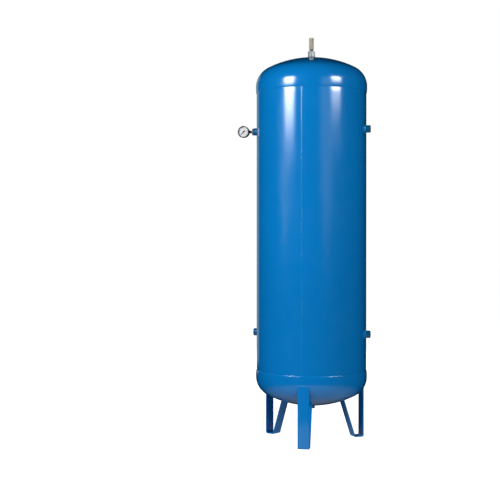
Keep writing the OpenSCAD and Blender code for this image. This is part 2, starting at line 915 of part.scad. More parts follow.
module valve_adjuster() {
    color([0.78, 0.66, 0.35]) in_valve() translate([0, 0, adjuster_z]) difference() {
        cylinder(r = bonnet_ri - screw_fit, h = adjuster_h);
        translate([0, 0, -1]) cylinder(r = spindle_r + run_fit, h = adjuster_h + 2);
        translate([-bonnet_ri, -0.6, adjuster_h - 1.5]) cube([2 * bonnet_ri, 1.2, 2]);
    }
}

// Ring of points of the spring's wire at turn angle a
function wire_ring(a, z) = [for (k = [0:7]) let (b = k * 45) [
    (spring_r + spring_wire / 2 * cos(b)) * cos(a),
    (spring_r + spring_wire / 2 * cos(b)) * sin(a),
    z + spring_wire / 2 * sin(b)
]];

module valve_spring() {
    steps = spring_turns * 16;
    z0 = disc_z1 + spring_wire / 2;
    z1 = adjuster_z - spring_wire / 2;
    points = [for (i = [0:steps]) each wire_ring(
        i * 360 / 16, z0 + (z1 - z0) * i / steps
    )];
    sides = [for (i = [0:steps - 1]) for (k = [0:7]) [
        i * 8 + k, i * 8 + (k + 1) % 8, (i + 1) * 8 + (k + 1) % 8, (i + 1) * 8 + k
    ]];
    first = [[for (k = [7:-1:0]) k]];
    last = [[for (k = [0:7]) steps * 8 + k]];
    color([0.6, 0.62, 0.65]) in_valve() polyhedron(points, concat(sides, first, last));
}

module valve_spindle() {
    color([0.72, 0.74, 0.76]) in_valve() translate([0, 0, disc_z0 + 1.5])
        cylinder(r = spindle_r, h = knob_z1 - 0.5 - disc_z0 - 1.5);
}

module valve_knob() {
    chamfer = 0.8;
    color([0.72, 0.68, 0.52]) in_valve() difference() {
        intersection() {
            translate([0, 0, knob_z0]) linear_extrude(knob_len) difference() {
                circle(d = knob_od);
                for (i = [0:flutes - 1])
                    rotate([0, 0, i * 360 / flutes]) translate([knob_od / 2 + flute_r / 2, 0])
                        circle(r = flute_r);
            }
            translate([0, 0, knob_z0]) rotate_extrude() polygon([
                [0, 0], [knob_od / 2 - chamfer, 0], [knob_od / 2, chamfer],
                [knob_od / 2, knob_len - chamfer], [knob_od / 2 - chamfer, knob_len], [0, knob_len]
            ]);
        }
        translate([0, 0, knob_z0 - 1]) cylinder(r = sleeve_r + run_fit, h = knob_in_z - knob_z0 + 1);
        translate([0, 0, knob_z0 + knob_thread_h])
            cylinder(r = sleeve_r + free_gap + 0.1, h = knob_in_z - knob_z0 - knob_thread_h);
        translate([0, 0, knob_in_z - 1]) cylinder(r = spindle_r + run_fit, h = plate_h + 2);
        translate([0, 0, knob_z1 - recess_h]) cylinder(r = nut_af * 0.75, h = recess_h + 1);
    }
}

module valve_nut() {
    color([0.72, 0.74, 0.76]) in_valve() translate([0, 0, knob_z1 - recess_h]) difference() {
        hexagon(nut_af, nut_h);
        translate([0, 0, -1]) cylinder(r = spindle_r + screw_fit, h = nut_h + 2);
    }
}

shell();
shell_weld();
top_head();
bottom_head();
top_ring_weld();
bottom_ring_weld();
top_socket();
gauge_socket();
outlet_socket();
inlet_socket();
spare_socket();
drain_socket();
socket_welds();
front_leg();
right_leg();
left_leg();
leg_welds();
gauge_bushing();
gauge_stem();
gauge_case();
gauge_case_screws();
gauge_bezel();
gauge_window();
gauge_seal();
gauge_spacer();
gauge_dial();
gauge_pointer();
pinion_arbor();
sector_gear();
gauge_link();
bourdon_tube();
tube_tip();
front_plate();
back_plate();
plate_pillars();
movement_screws();
hairspring();
valve_gasket();
valve_body();
valve_bonnet();
valve_disc();
valve_pad();
valve_spindle();
valve_spring();
valve_adjuster();
valve_knob();
valve_nut();
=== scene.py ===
"""Looks of an air receiver tank with its gauge and safety valve, built round its CAD frame."""
import json
import logging
import math
from dataclasses import dataclass
from enum import Enum
from typing import Callable, Iterable, Sequence

import bmesh
import bpy
from bmesh.types import BMEdge, BMesh
from bpy.types import Material, NodeSocket, Object
from mathutils import Matrix, Vector, noise


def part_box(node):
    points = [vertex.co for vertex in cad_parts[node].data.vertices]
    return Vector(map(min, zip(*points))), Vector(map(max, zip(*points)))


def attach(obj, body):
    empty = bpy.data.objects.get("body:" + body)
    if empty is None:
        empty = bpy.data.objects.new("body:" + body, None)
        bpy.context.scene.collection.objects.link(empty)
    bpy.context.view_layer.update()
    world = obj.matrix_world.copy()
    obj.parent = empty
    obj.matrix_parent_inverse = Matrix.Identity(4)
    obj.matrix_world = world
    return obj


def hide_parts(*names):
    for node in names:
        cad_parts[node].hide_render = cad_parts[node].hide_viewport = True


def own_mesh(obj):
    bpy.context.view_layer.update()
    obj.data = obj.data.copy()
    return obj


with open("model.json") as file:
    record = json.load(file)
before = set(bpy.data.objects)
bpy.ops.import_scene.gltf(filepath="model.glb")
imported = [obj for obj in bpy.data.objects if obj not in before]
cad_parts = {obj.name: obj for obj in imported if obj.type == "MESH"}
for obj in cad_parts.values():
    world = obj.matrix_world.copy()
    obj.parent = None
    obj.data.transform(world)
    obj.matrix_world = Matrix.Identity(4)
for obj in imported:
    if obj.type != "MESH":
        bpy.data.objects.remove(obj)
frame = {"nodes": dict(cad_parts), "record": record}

LOG = logging.getLogger("air_receiver")
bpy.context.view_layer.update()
MM = 0.001
MERGE_DIST = 1e-6
FULL_TURN = 2 * math.pi
HALF_CORNER = math.radians(30)
THREAD_PITCH = 1.814 * MM
THREAD_R = 12 * MM
THREAD_STEPS = 72
CROWN_DIP = 0.9 * MM

Profile = list[tuple[float, float]]
Shift = Callable[[Vector], Vector]
Colour = tuple[float, float, float]
Span = tuple[float, float]


class Slot(Enum):
    """Material slots of the record."""

    BLUE = "blue_paint"
    NICKEL = "nickel"
    ZINC = "zinc"
    PALE_BRASS = "pale_brass"
    BRASS = "brass"
    BLACK = "black_paint"
    WHITE = "white_dial"
    POINTER = "pointer_black"
    WINDOW = "window"
    RUBBER = "black_rubber"
    COPPER = "copper_seal"
    SPRING = "spring_steel"


# ------------------------------------------------------------------ materials

CLOUD_SPAN: Span = (0.3, 0.7)


class Recipe:
    """A node tree in the making, with short calls for the nodes that the finishes share."""

    def __init__(self, name: str) -> None:
        """Starts a material that has only a Principled shader.

        Args:
            name: The material's name.
        """
        self.material = bpy.data.materials.new(name)
        self.material.use_nodes = True
        self.tree = self.material.node_tree
        self.shader = self.tree.nodes["Principled BSDF"]
        self.coords = self.tree.nodes.new("ShaderNodeTexCoord").outputs["Object"]

    def set(self, **sockets: float | tuple[float, ...]) -> None:
        """Sets shader sockets, named in lower case with underscores."""
        names = {s.name.lower().replace(" ", "_"): s for s in self.shader.inputs}
        for key, value in sockets.items():
            names[key].default_value = value

    def link(self, source: NodeSocket, target: str) -> None:
        """Joins a node's output to one of the shader's inputs."""
        self.tree.links.new(source, self.shader.inputs[target])

    def stretched(self, scale: tuple[float, float, float]) -> NodeSocket:
        """Object coordinates with a scale of their own along each axis."""
        mapping = self.tree.nodes.new("ShaderNodeMapping")
        mapping.inputs["Scale"].default_value = scale
        self.tree.links.new(self.coords, mapping.inputs["Vector"])
        return mapping.outputs["Vector"]

    def clouds(self, scale: float, detail: float, at: NodeSocket | None = None) -> NodeSocket:
        """Noise of that many waves in a metre.

        Args:
            scale: Waves in a metre.
            detail: Octaves of finer noise.
            at: Coordinates, or None for the object's own.

        Returns:
            The noise's value, about 0.3 to 0.7.
        """
        tex = self.tree.nodes.new("ShaderNodeTexNoise")
        tex.inputs["Scale"].default_value = scale
        tex.inputs["Detail"].default_value = detail
        self.tree.links.new(at or self.coords, tex.inputs["Vector"])
        return tex.outputs["Fac"]

    def spread(self, value: NodeSocket, low: float, high: float,
               span: Span = CLOUD_SPAN) -> NodeSocket:
        """Maps a value from span onto low to high."""
        node = self.tree.nodes.new("ShaderNodeMapRange")
        for name, number in zip(("From Min", "From Max", "To Min", "To Max"), (*span, low, high)):
            node.inputs[name].default_value = number
        self.tree.links.new(value, node.inputs["Value"])
        return node.outputs["Result"]

    def ramp(self, value: NodeSocket, low: Colour, high: Colour,
             span: Span = CLOUD_SPAN) -> NodeSocket:
        """A colour between two colours, by a value."""
        node = self.tree.nodes.new("ShaderNodeValToRGB")
        for stop, place, colour in zip(node.color_ramp.elements, span, (low, high)):
            stop.position = place
            stop.color = (*colour, 1.0)
        self.tree.links.new(value, node.inputs["Fac"])
        return node.outputs["Color"]

    def bump(self, heights: Iterable[tuple[NodeSocket, float]]) -> None:
        """Adds bumps, each a height value and its depth in metres."""
        last = None
        for value, depth in heights:
            node = self.tree.nodes.new("ShaderNodeBump")
            node.inputs["Distance"].default_value = depth
            self.tree.links.new(value, node.inputs["Height"])
            if last is not None:
                self.tree.links.new(last, node.inputs["Normal"])
            last = node.outputs["Normal"]
        self.link(last, "Normal")


@dataclass(frozen=True)
class Enamel:
    """Sprayed gloss enamel over steel: soft orange peel, thin dust and a faint drift of colour."""

    name: str
    low: Colour
    high: Colour
    rough: Span = (0.16, 0.24)
    peel: float = 0.00004
    grit: float = 0.0
    coat: float = 1.0

    def make(self) -> Material:
        """Builds the material."""
        r = Recipe(self.name)
        r.link(r.ramp(r.clouds(2.2, 3), self.low, self.high), "Base Color")
        r.link(r.spread(r.clouds(14, 5), *self.rough), "Roughness")
        r.set(specular_ior_level=0.9, coat_weight=self.coat, coat_roughness=0.05, coat_ior=1.7)
        layers = [(r.clouds(230, 2), self.peel), (r.clouds(38, 1), self.peel * 1.5)]
        if self.grit:
            layers.append((r.clouds(900, 3), self.grit))
        r.bump(layers)
        return r.material


@dataclass(frozen=True)
class Plate:
    """Bare or plated metal: fine tool marks round its own axis, mottling and a dull film."""

    name: str
    low: Colour
    high: Colour
    rough: Span = (0.15, 0.3)
    mottle: float = 60
    marks: float = 0.00001
    metal: float = 1.0

    def make(self) -> Material:
        """Builds the material."""
        r = Recipe(self.name)
        r.set(metallic=self.metal)
        r.link(r.ramp(r.clouds(self.mottle, 4), self.low, self.high), "Base Color")
        r.link(r.spread(r.clouds(self.mottle * 5, 4), *self.rough), "Roughness")
        turned = r.clouds(1, 2, r.stretched((300, 300, 4000)))
        r.bump([(turned, self.marks), (r.clouds(1200, 2), self.marks)])
        return r.material


@dataclass(frozen=True)
class Matt:
    """A dull surface with a grain: rubber, printed enamel, fibre."""

    name: str
    low: Colour
    high: Colour
    rough: Span = (0.5, 0.7)
    grain: float = 900
    depth: float = 0.00003

    def make(self) -> Material:
        """Builds the material."""
        r = Recipe(self.name)
        r.link(r.ramp(r.clouds(120, 3), self.low, self.high), "Base Color")
        r.link(r.spread(r.clouds(400, 2), *self.rough), "Roughness")
        r.bump([(r.clouds(self.grain, 3), self.depth)])
        return r.material


@dataclass(frozen=True)
class Glazing:
    """Clear flat window with faint smears."""

    name: str
    alpha: float = 0.02

    def make(self) -> Material:
        """Builds the material."""
        r = Recipe(self.name)
        r.set(base_color=(0.93, 0.96, 0.97, 1.0), alpha=self.alpha, specular_ior_level=0.5)
        r.link(r.spread(r.clouds(90, 4), 0.02, 0.1), "Roughness")
        r.material.surface_render_method = "BLENDED"
        return r.material


FINISHES: dict[Slot, Enamel | Plate | Matt | Glazing] = {
    Slot.BLUE: Enamel("blue_enamel", (0.0, 0.175, 0.51), (0.0, 0.19, 0.55)),
    Slot.NICKEL: Plate("bright_nickel", (0.17, 0.19, 0.205), (0.23, 0.255, 0.27), (0.22, 0.34),
                       mottle=40, marks=0.000006, metal=0.85),
    Slot.ZINC: Plate("zinc_plate", (0.2, 0.24, 0.26), (0.28, 0.32, 0.34), (0.32, 0.46),
                     mottle=140, metal=0.5),
    Slot.PALE_BRASS: Plate("pale_brass", (0.47, 0.43, 0.32), (0.55, 0.5, 0.37), (0.32, 0.46),
                           mottle=90, marks=0.000006, metal=0.45),
    Slot.BRASS: Plate("turned_brass", (0.36, 0.3, 0.19), (0.5, 0.42, 0.27), (0.25, 0.4)),
    Slot.BLACK: Enamel("black_enamel", (0.012, 0.012, 0.013), (0.02, 0.02, 0.022), (0.3, 0.42),
                       peel=0.00002, coat=0.3),
    Slot.WHITE: Matt("dial_white", (0.72, 0.72, 0.71), (0.8, 0.8, 0.79), (0.4, 0.55)),
    Slot.POINTER: Matt("pointer_black", (0.012, 0.012, 0.012), (0.02, 0.02, 0.02)),
    Slot.WINDOW: Glazing("window_clear"),
    Slot.RUBBER: Matt("black_rubber", (0.015, 0.015, 0.015), (0.03, 0.03, 0.03), (0.6, 0.8)),
    Slot.COPPER: Plate("soft_copper", (0.5, 0.24, 0.13), (0.66, 0.34, 0.2), (0.3, 0.5)),
    Slot.SPRING: Plate("spring_steel", (0.36, 0.36, 0.38), (0.5, 0.5, 0.52), (0.25, 0.4)),
}
# Weld-bead enamel, a little lighter than the shell's: a painted highlight standing in for the
# glint along the beads.
BEAD_ENAMEL_PAINTED_GLINT = Enamel("blue_enamel_on_weld", (0.0, 0.192, 0.53), (0.0, 0.212, 0.575), (0.18, 0.3),
                     peel=0.00006, grit=0.00003)
# Socket enamel, much darker than the shell's: painted shade on the sockets, not a different paint.
SOCKET_ENAMEL_PAINTED_SHADE = Enamel("blue_enamel_on_socket", (0.0, 0.115, 0.29), (0.0, 0.135, 0.33),
                       (0.2, 0.32), peel=0.00003, grit=0.00002)
# Bare thread in the socket bores, darkened to near black: part the thread's own dull steel, part
# painted shade in the bore.
BORE_THREAD_AND_SHADE = Plate("oiled_thread", (0.05, 0.05, 0.052), (0.11, 0.105, 0.1), (0.35, 0.6), 200)


class Paints:
    """Makes each finish once and hands it out."""

    def __init__(self) -> None:
        """Starts with no material made."""
        self.made: dict[str, Material] = {}

    def get(self, finish: Enamel | Plate | Matt | Glazing) -> Material:
        """The material of a finish."""
        if finish.name not in self.made:
            self.made[finish.name] = finish.make()
        return self.made[finish.name]

    def of(self, slot: Slot) -> Material:
        """The material of a record slot."""
        return self.get(FINISHES[slot])


PAINTS = Paints()


# ------------------------------------------------------------------ mesh work


def middle(node: str) -> Vector:
    """Centre of a CAD node's box."""
    low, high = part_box(node)
    return (low + high) / 2


def arc(centre: Span, radius: float, start: float, end: float, steps: int) -> Profile:
    """Points of an arc.

    Args:
        centre: Its centre in the profile's plane.
        radius: Its radius.
        start: First angle, in degrees.
        end: Last angle, in degrees.
        steps: Number of chords.

    Returns:
        The points, both ends included.
    """
    angles = [math.radians(start + (end - start) * i / steps) for i in range(steps + 1)]
    return [(centre[0] + radius * math.cos(a), centre[1] + radius * math.sin(a)) for a in angles]


def revolve(profile: Profile, steps: int, closed: bool = True) -> BMesh:
    """Spins a profile of (radius, height) points about +Z.

    Args:
        profile: The points in order.
        steps: Faces in a turn.
        closed: Whether the last point joins the first, as in a ring.

    Returns:
        The spun mesh, with its normals outwards.
    """
    bm = bmesh.new()
    verts = [bm.verts.new((r, 0.0, z)) for r, z in profile]
    edges = [bm.edges.new(pair) for pair in zip(verts, verts[1:])]
    if closed:
        edges.append(bm.edges.new((verts[-1], verts[0])))
    bmesh.ops.spin(bm, geom=verts + edges, cent=(0, 0, 0), axis=(0, 0, 1), angle=FULL_TURN,
                   steps=steps, use_merge=True)
    return tidied(bm)


def tidied(bm: BMesh) -> BMesh:
    """Merges doubles and turns every face outwards."""
    bmesh.ops.remove_doubles(bm, verts=bm.verts, dist=MERGE_DIST)
    bmesh.ops.recalc_face_normals(bm, faces=bm.faces)
    return bm


def extrude_outline(outline: Profile, depth: float, steps: int = 1) -> BMesh:
    """Closed bar with that outline in XY, from z = 0 to depth.

    Args:
        outline: The outline's points in order.
        depth: The bar's length.
        steps: Rows of faces along it.

    Returns:
        The closed bar.
    """
    bm = bmesh.new()
    verts = [bm.verts.new((x, y, 0.0)) for x, y in outline]
    edges = [bm.edges.new((a, b)) for a, b in zip(verts, verts[1:] + verts[:1])]
    bmesh.ops.spin(bm, geom=verts + edges, cent=(0, 0, 0), axis=(0, 0, 1), angle=0.0,
                   dvec=(0, 0, depth / steps), steps=steps)
    bmesh.ops.holes_fill(bm, edges=open_edges(bm), sides=0)
    return tidied(bm)


def soften(bm: BMesh, width: float, segments: int = 2, angle: float = 35) -> BMesh:
    """Rounds the edges that are sharper than an angle.

    Args:
        bm: The mesh.
        width: The round's width.
        segments: Its rows of faces.
        angle: The least turn of an edge that is rounded, in degrees.

    Returns:
        The same mesh.
    """
    least = math.radians(angle)
    edges = [e for e in bm.edges if len(e.link_faces) == 2 and e.calc_face_angle(0.0) > least]
    bmesh.ops.bevel(bm, geom=edges, offset=width, segments=segments, profile=0.5,
                    affect="EDGES", material=-1, clamp_overlap=True)
    return bm


def placed(bm: BMesh, *matrices: Matrix) -> BMesh:
    """Transforms a mesh by matrices, the last one first."""
    total = Matrix.Identity(4)
    for matrix in matrices:
        total = total @ matrix
    bmesh.ops.transform(bm, matrix=total, verts=bm.verts)
    return bm


def moved(bm: BMesh, shift: Shift) -> BMesh:
    """Moves every vertex by a function of its place."""
    for vert in bm.verts:
        vert.co = shift(vert.co)
    return bm


def turn(degrees: float, axis: str) -> Matrix:
    """Rotation about a main axis."""
    return Matrix.Rotation(math.radians(degrees), 4, axis)


def shift_to(x: float, y: float, z: float) -> Matrix:
    """Translation."""
    return Matrix.Translation((x, y, z))


def on_seam(seam: float, up: int) -> Matrix:
    """Stands a head's mesh on its seam: upright for 1, upside down for -1."""
    return shift_to(0, 0, seam) @ Matrix.Diagonal((1, 1, up, 1))


def bearing(co: Vector) -> tuple[float, float]:
    """Radius of a point about the Z axis, and its direction in radians."""
    return math.hypot(co.x, co.y), math.atan2(co.y, co.x)


def polar(radius: float, around: float, z: float) -> Vector:
    """Point at a radius and a direction about the Z axis."""
    return Vector((radius * math.cos(around), radius * math.sin(around), z))


def drawn(co: Vector, scale: float) -> Vector:
    """Point moved in or out from the Z axis."""
    return Vector((co.x * scale, co.y * scale, co.z))


def apart(around: float, centre: float) -> float:
    """Angle from a direction to another, from minus to plus half a turn."""
    return (around - centre + math.pi) % FULL_TURN - math.pi


def open_edges(bm: BMesh) -> list[BMEdge]:
    """Edges that have a face on one side only."""
    return [e for e in bm.edges if e.is_boundary]


def joined(parts: Sequence[BMesh]) -> BMesh:
    """Puts several meshes into the first one."""
    first = parts[0]
    for part in parts[1:]:
        mesh = bpy.data.meshes.new("joining")
        part.to_mesh(mesh)
        first.from_mesh(mesh)
        bpy.data.meshes.remove(mesh)
        part.free()
    return first


def ripple(turns: float, bow: float) -> float:
    """Height, from 0 to 1, of the crescents that a weld pool leaves.

    Args:
        turns: Distance along the bead, in ripples.
        bow: Distance across the bead, from -1 to 1.

    Returns:
        The height.
    """
    return abs(math.sin(math.pi * (turns + 0.35 * bow * bow)))


def evaluated(obj: Object) -> bpy.types.Mesh:
    """New mesh of an object with its modifiers or its text worked out."""
    bpy.context.view_layer.update()
    graph = bpy.context.evaluated_depsgraph_get()
    return bpy.data.meshes.new_from_object(obj.evaluated_get(graph))


@dataclass
class Piece:
    """A finished piece: its mesh, name, body, finish and the CAD nodes that it stands for."""

    name: str
    bm: BMesh
    slot: Slot
    nodes: tuple[str, ...] = ()
    body: str = "root"
    smooth: float = 35
    extra: tuple[Material, ...] = ()
    first: Material | None = None

    def add(self) -> Object:
        """Makes the object, dresses it and joins it to the frame.

        Returns:
            The new object.
        """
        mesh = bpy.data.meshes.new(self.name)
        self.bm.to_mesh(mesh)
        self.bm.free()
        mesh.shade_smooth()
        mesh.set_sharp_from_angle(angle=math.radians(self.smooth))
        obj = bpy.data.objects.new(self.name, mesh)
        bpy.context.scene.collection.objects.link(obj)
        for material in (self.first or PAINTS.of(self.slot), *self.extra):
            mesh.materials.append(material)
        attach(obj, self.body)
        if self.nodes:
            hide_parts(*self.nodes)
        LOG.info("%s: %d faces on %s", self.name, len(mesh.polygons), self.body)
        return obj


def add_bead(name: str, bm: BMesh, node: str, smooth: float = 50) -> None:
    """Adds a painted weld bead in place of a CAD node, in enamel made a little lighter than the
    shell's as a painted highlight along the bead.
    """
    Piece(name, bm, Slot.BLUE, (node,), smooth=smooth, first=PAINTS.get(BEAD_ENAMEL_PAINTED_GLINT)).add()


def cut(obj: Object, cutters: Sequence[BMesh], smooth: float = 35) -> None:
    """Cuts closed meshes out of a piece.

    Args:
        obj: The piece.
        cutters: What is cut away.
        smooth: The least turn of an edge that stays sharp, in degrees.
    """
    tool_mesh = bpy.data.meshes.new("cutter")
    tool_bm = joined(cutters)
    tool_bm.to_mesh(tool_mesh)
    tool_bm.free()
    tool = bpy.data.objects.new("cutter", tool_mesh)
    bpy.context.scene.collection.objects.link(tool)
    modifier = obj.modifiers.new("cut", "BOOLEAN")
    modifier.operation = "DIFFERENCE"
    modifier.solver = "EXACT"
    modifier.object = tool
    result = evaluated(obj)
    obj.modifiers.remove(modifier)
    old, obj.data = obj.data, result
    result.name = obj.name
    bpy.data.meshes.remove(old)
    result.shade_smooth()
    result.set_sharp_from_angle(angle=math.radians(smooth))
    bpy.data.objects.remove(tool)
    bpy.data.meshes.remove(tool_mesh)


def rod(radius: float, length: float, steps: int = 48) -> BMesh:
    """Closed cylinder along +Z from z = 0."""
    bm = bmesh.new()
    bmesh.ops.create_cone(bm, cap_ends=True, segments=steps, radius1=radius, radius2=radius,
                          depth=length, matrix=shift_to(0, 0, length / 2))
    return bm


def hex_nut(flats: float, length: float, bore: float, steps: int = 96) -> BMesh:
    """Hexagon with turned ends and a bore, along +Z from z = 0, with a corner on +X.

    Args:
        flats: Width across flats.
        length: Its length.
        bore: Radius of its hole.
        steps: Faces in a turn, a multiple of six.

    Returns:
        The closed mesh.
    """
    corner = flats / 2 / math.cos(HALF_CORNER)
    slope = math.tan(HALF_CORNER)
    land = flats / 2 * 0.97
    fall = (corner - land) * slope
    rows = [fall * i / 5 for i in range(6)]
    heights = rows + [length / 2] + [length - z for z in reversed(rows)]
    bm = revolve([(bore, 0.0)] + [(corner, z) for z in heights] + [(bore, length)], steps)

    def pull(co: Vector) -> Vector:
        """Draws a rim vertex in to the flat or to the turned end, whichever is nearer."""
        radius, around = bearing(co)
        if radius < bore + (corner - bore) / 2:
            return co
        off = around % (2 * HALF_CORNER) - HALF_CORNER
        flat = min(flats / 2 / math.cos(off), corner - 0.7 * MM)
        end = land + min(co.z, length - co.z) / slope
        scale = min(flat, end) / radius
        return drawn(co, scale)

    return tidied(moved(bm, pull))


# ------------------------------------------------------------------ vessel


@dataclass
class Port:
    """A side port: which way it points along X, and its height."""

    side: int
    z: float

    @property
    def around(self) -> float:
        """Its direction round the vessel, in radians."""
        return 0.0 if self.side > 0 else math.pi

    def matrix(self) -> Matrix:
        """Turns +Z outwards along the port."""
        return shift_to(0, 0, self.z) @ turn(90 * self.side, "Y")


@dataclass
class Vessel:
    """The rolled shell, its two heads and their welds."""

    crown_r: float = 440 * MM
    knuckle_r: float = 90 * MM
    skirt: float = 27 * MM
    wall: float = 3 * MM
    steps: int = 288
    draw_depth: float = 2.8 * MM
    draw_width: float = 31 * MM
    seam_draw: float = 0.7 * MM
    seam_draw_width: float = 13 * MM
    lap_draw: float = 0.9 * MM
    bead_draw: float = 0.35 * MM
    bead_draw_width: float = 15 * MM
    bead_az: float = -88.5
    bead_half: float = 3.6 * MM
    bead_h: float = 0.85 * MM
    bead_pitch: float = 3.3 * MM
    fillet: float = 4 * MM
    socket_r: float = 16.5 * MM
    root_gap: float = 0.1 * MM
    wave: float = 0.12 * MM
    row_steps: tuple[Span, ...] = ((62 * MM, 4.5 * MM), (100 * MM, 9 * MM), (math.inf, 22 * MM))

    def __post_init__(self) -> None:
        """Reads the shell's and the heads' places from the frame."""
        low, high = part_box("shell")
        self.shell_r = (high.x - low.x) / 2
        self.z0, self.z1 = low.z, high.z
        self.low_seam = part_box("bottom_head")[1].z
        self.high_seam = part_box("top_head")[0].z
        self.head_r = (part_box("top_head")[1].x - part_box("top_head")[0].x) / 2
        crown_sin = (self.head_r - self.knuckle_r) / (self.crown_r - self.knuckle_r)
        self.crown_deg = math.degrees(math.asin(crown_sin))
        crown_cos = math.cos(math.radians(self.crown_deg))
        dish = self.crown_r - (self.crown_r - self.knuckle_r) * crown_cos
        self.head_h = dish + self.skirt
        sides = {"outlet_socket": 1, "gauge_socket": -1, "spare_socket": 1, "inlet_socket": -1}
        self.ports = {node: Port(side, middle(node).z) for node, side in sides.items()}

    def skin(self, around: float, z: float) -> float:
        """Radius of the shell's outer face, drawn in by its welds.

        Args:
            around: Direction from +X, in radians.
            z: Height.

        Returns:
            The radius.
        """
        radius = self.shell_r
        for port in self.ports.values():
            far = math.hypot(apart(around, port.around) * self.shell_r, z - port.z)
            radius -= self.draw_depth * math.exp(-((far / self.draw_width) ** 2))
        for seam in (self.low_seam, self.high_seam):
            radius -= self.seam_draw * math.exp(-(((z - seam) / self.seam_draw_width) ** 2))
        off = apart(around, math.radians(self.bead_az)) * self.shell_r
        radius -= self.bead_draw * math.exp(-((off / self.bead_draw_width) ** 2))
        return radius - self.wave * (1 + noise.noise(polar(2.2, around, 3.1 * z)))

    def rows(self) -> list[float]:
        """Heights of the shell's rows of vertices, close together near ports and seams."""
        busy = [p.z for p in self.ports.values()] + [self.low_seam, self.high_seam]
        z, found = self.z0, []
        while z < self.z1 - 2 * MM:
            found.append(z)
            near = min(abs(z - b) for b in busy)
            z += next(step for reach, step in self.row_steps if near <= reach)
        return found + [self.z1]

    def make_shell(self) -> None:
        """The rolled shell, with a hole for each side socket."""
        outer = [(self.shell_r, z) for z in self.rows()]
        inner_r = self.shell_r - self.wall - self.draw_depth / 2
        inner = [(inner_r, self.z0 + (self.z1 - self.z0) * i / 12) for i in range(12, -1, -1)]
        bm = revolve(outer + inner, self.steps)
        limit = self.shell_r - 1e-5

        def draw(co: Vector) -> Vector:
            """Puts an outer vertex on the drawn skin."""
            radius, around = bearing(co)
            return co if radius < limit else polar(self.skin(around, co.z), around, co.z)

        obj = Piece("shell_skin", moved(bm, draw), Slot.BLUE, ("shell",)).add()
        hole = self.socket_r + self.root_gap
        drill = self.shell_r + 20 * MM
        cut(obj, [placed(rod(hole, drill), port.matrix()) for port in self.ports.values()])

    def head_side(self, inset: float, hole: float) -> Profile:
        """One face of a head from the socket's hole to the open edge at height 0.

        Args:
            inset: Distance inwards from the outer face.
            hole: Radius at which the face starts.

        Returns:
            Its points as (radius, height).
        """
        crown = self.crown_r - inset
        start = math.degrees(math.asin(hole / crown))
        top = arc((0, self.head_h - self.crown_r), crown, 90 - start, 90 - self.crown_deg, 26)
        bend = arc((self.head_r - self.knuckle_r, self.skirt), self.knuckle_r - inset,
                   90 - self.crown_deg, 0, 26)
        skirt = [(self.head_r - inset, self.skirt * i / 14) for i in range(13, -1, -1)]
        return top + bend[1:] + skirt

    def make_head(self, name: str, seam: float, up: int) -> None:
        """A pressed head with a drilled crown, a wavy knuckle and a drawn skirt.

        Args:
            name: The CAD node.
            seam: Height of its open edge.
            up: 1 for the top head, -1 for the bottom one.
        """
        hole = self.socket_r + self.root_gap
        profile = self.head_side(0, hole) + self.head_side(self.wall, hole)[::-1]
        bm = revolve(profile, self.steps)

        def work(co: Vector) -> Vector:
            """Lets the outer face drift a little, and draws it in by the socket's weld."""
            radius = math.hypot(co.x, co.y)
            wave = noise.noise(Vector((5 * co.x, 5 * co.y, 7 * co.z + up)))
            flat = max(0.0, 1 - radius / (3 * self.socket_r))
            lap = max(0.0, 1 - co.z / (0.8 * self.skirt))
            inwards = 0.15 * MM + self.wave * wave + self.lap_draw * lap * lap
            scale = 1 - inwards / self.head_r
            return drawn(co, scale) - Vector((0, 0, CROWN_DIP * flat * flat))

        bm = placed(moved(bm, work), on_seam(seam, up))
        Piece(name + "_skin", soften(tidied(bm), 0.5 * MM), Slot.BLUE, (name,)).add()

    def make_ring_weld(self, name: str, seam: float, up: int) -> None:
        """The rippled fillet where a head's edge ends on the shell.

        Args:
            name: The CAD node.
            seam: Height of the head's open edge.
            up: 1 for the top head, whose fillet hangs below its edge, -1 for the bottom one.
        """
        root = self.shell_r - 1.4 * MM
        toe = self.shell_r - self.seam_draw
        rim = self.head_r - self.lap_draw - 0.3 * MM
        bow = [math.sin(math.radians(90 * i / 10)) for i in range(11)]
        face = [(toe + (rim - toe) * wide, -self.fillet * (0.12 + 0.88 * deep))
                for wide, deep in zip(bow[::-1], bow)]
        face[0] = (rim, 0.0)
        profile = [(root, 0.0)] + face + [(root, -self.fillet)]
        count = 450
        bm = revolve(profile, count * 3)

        def crescents(co: Vector) -> Vector:
            """Lifts the bead's face into crescents."""
            radius, around = bearing(co)
            if radius < toe - 0.1 * MM or co.z > -0.1 * MM:
                return co
            across = 2 * co.z / self.fillet + 1
            lift = 0.28 * MM * (ripple(around / FULL_TURN * count, across) - 1)
            lift += 0.2 * MM * noise.noise(polar(9, around, seam))
            return drawn(co, 1 + min(lift, 0.0) / radius)

        bm = placed(moved(bm, crescents), on_seam(seam, up))
        add_bead(name + "_bead", tidied(bm), name)

    def make_long_weld(self) -> None:
        """The shell's long bead, with ripples and a slightly wandering edge."""
        start, end = self.low_seam + self.fillet, self.high_seam - self.fillet
        sunk, under = 0.6 * MM, -0.9
        outline = arc((0, -sunk), 1.0, 0, 180, 8) + [(-1.0, -1.0), (1.0, -1.0)]
        length = end - start
        rows = int(length / self.bead_pitch * 3)
        bm = extrude_outline(outline, length, rows)
        az = math.radians(self.bead_az)

        def lay(co: Vector) -> Vector:
            """Lays the straight bar on the shell as a low bead."""
            across, z = co.x, start + co.z
            wander = noise.noise(Vector((0.0, 11.0, 40 * z))) * 0.4 * MM
            around = az + (across * self.bead_half + wander) / self.shell_r
            height = -0.9 * MM
            if co.y > under:
                body = self.bead_h * max(0.0, 1 - across * across) ** 0.5
                height = body * (0.86 + 0.14 * ripple(co.z / self.bead_pitch, across))
            return polar(self.skin(around, z) - self.wave + height, around, z)

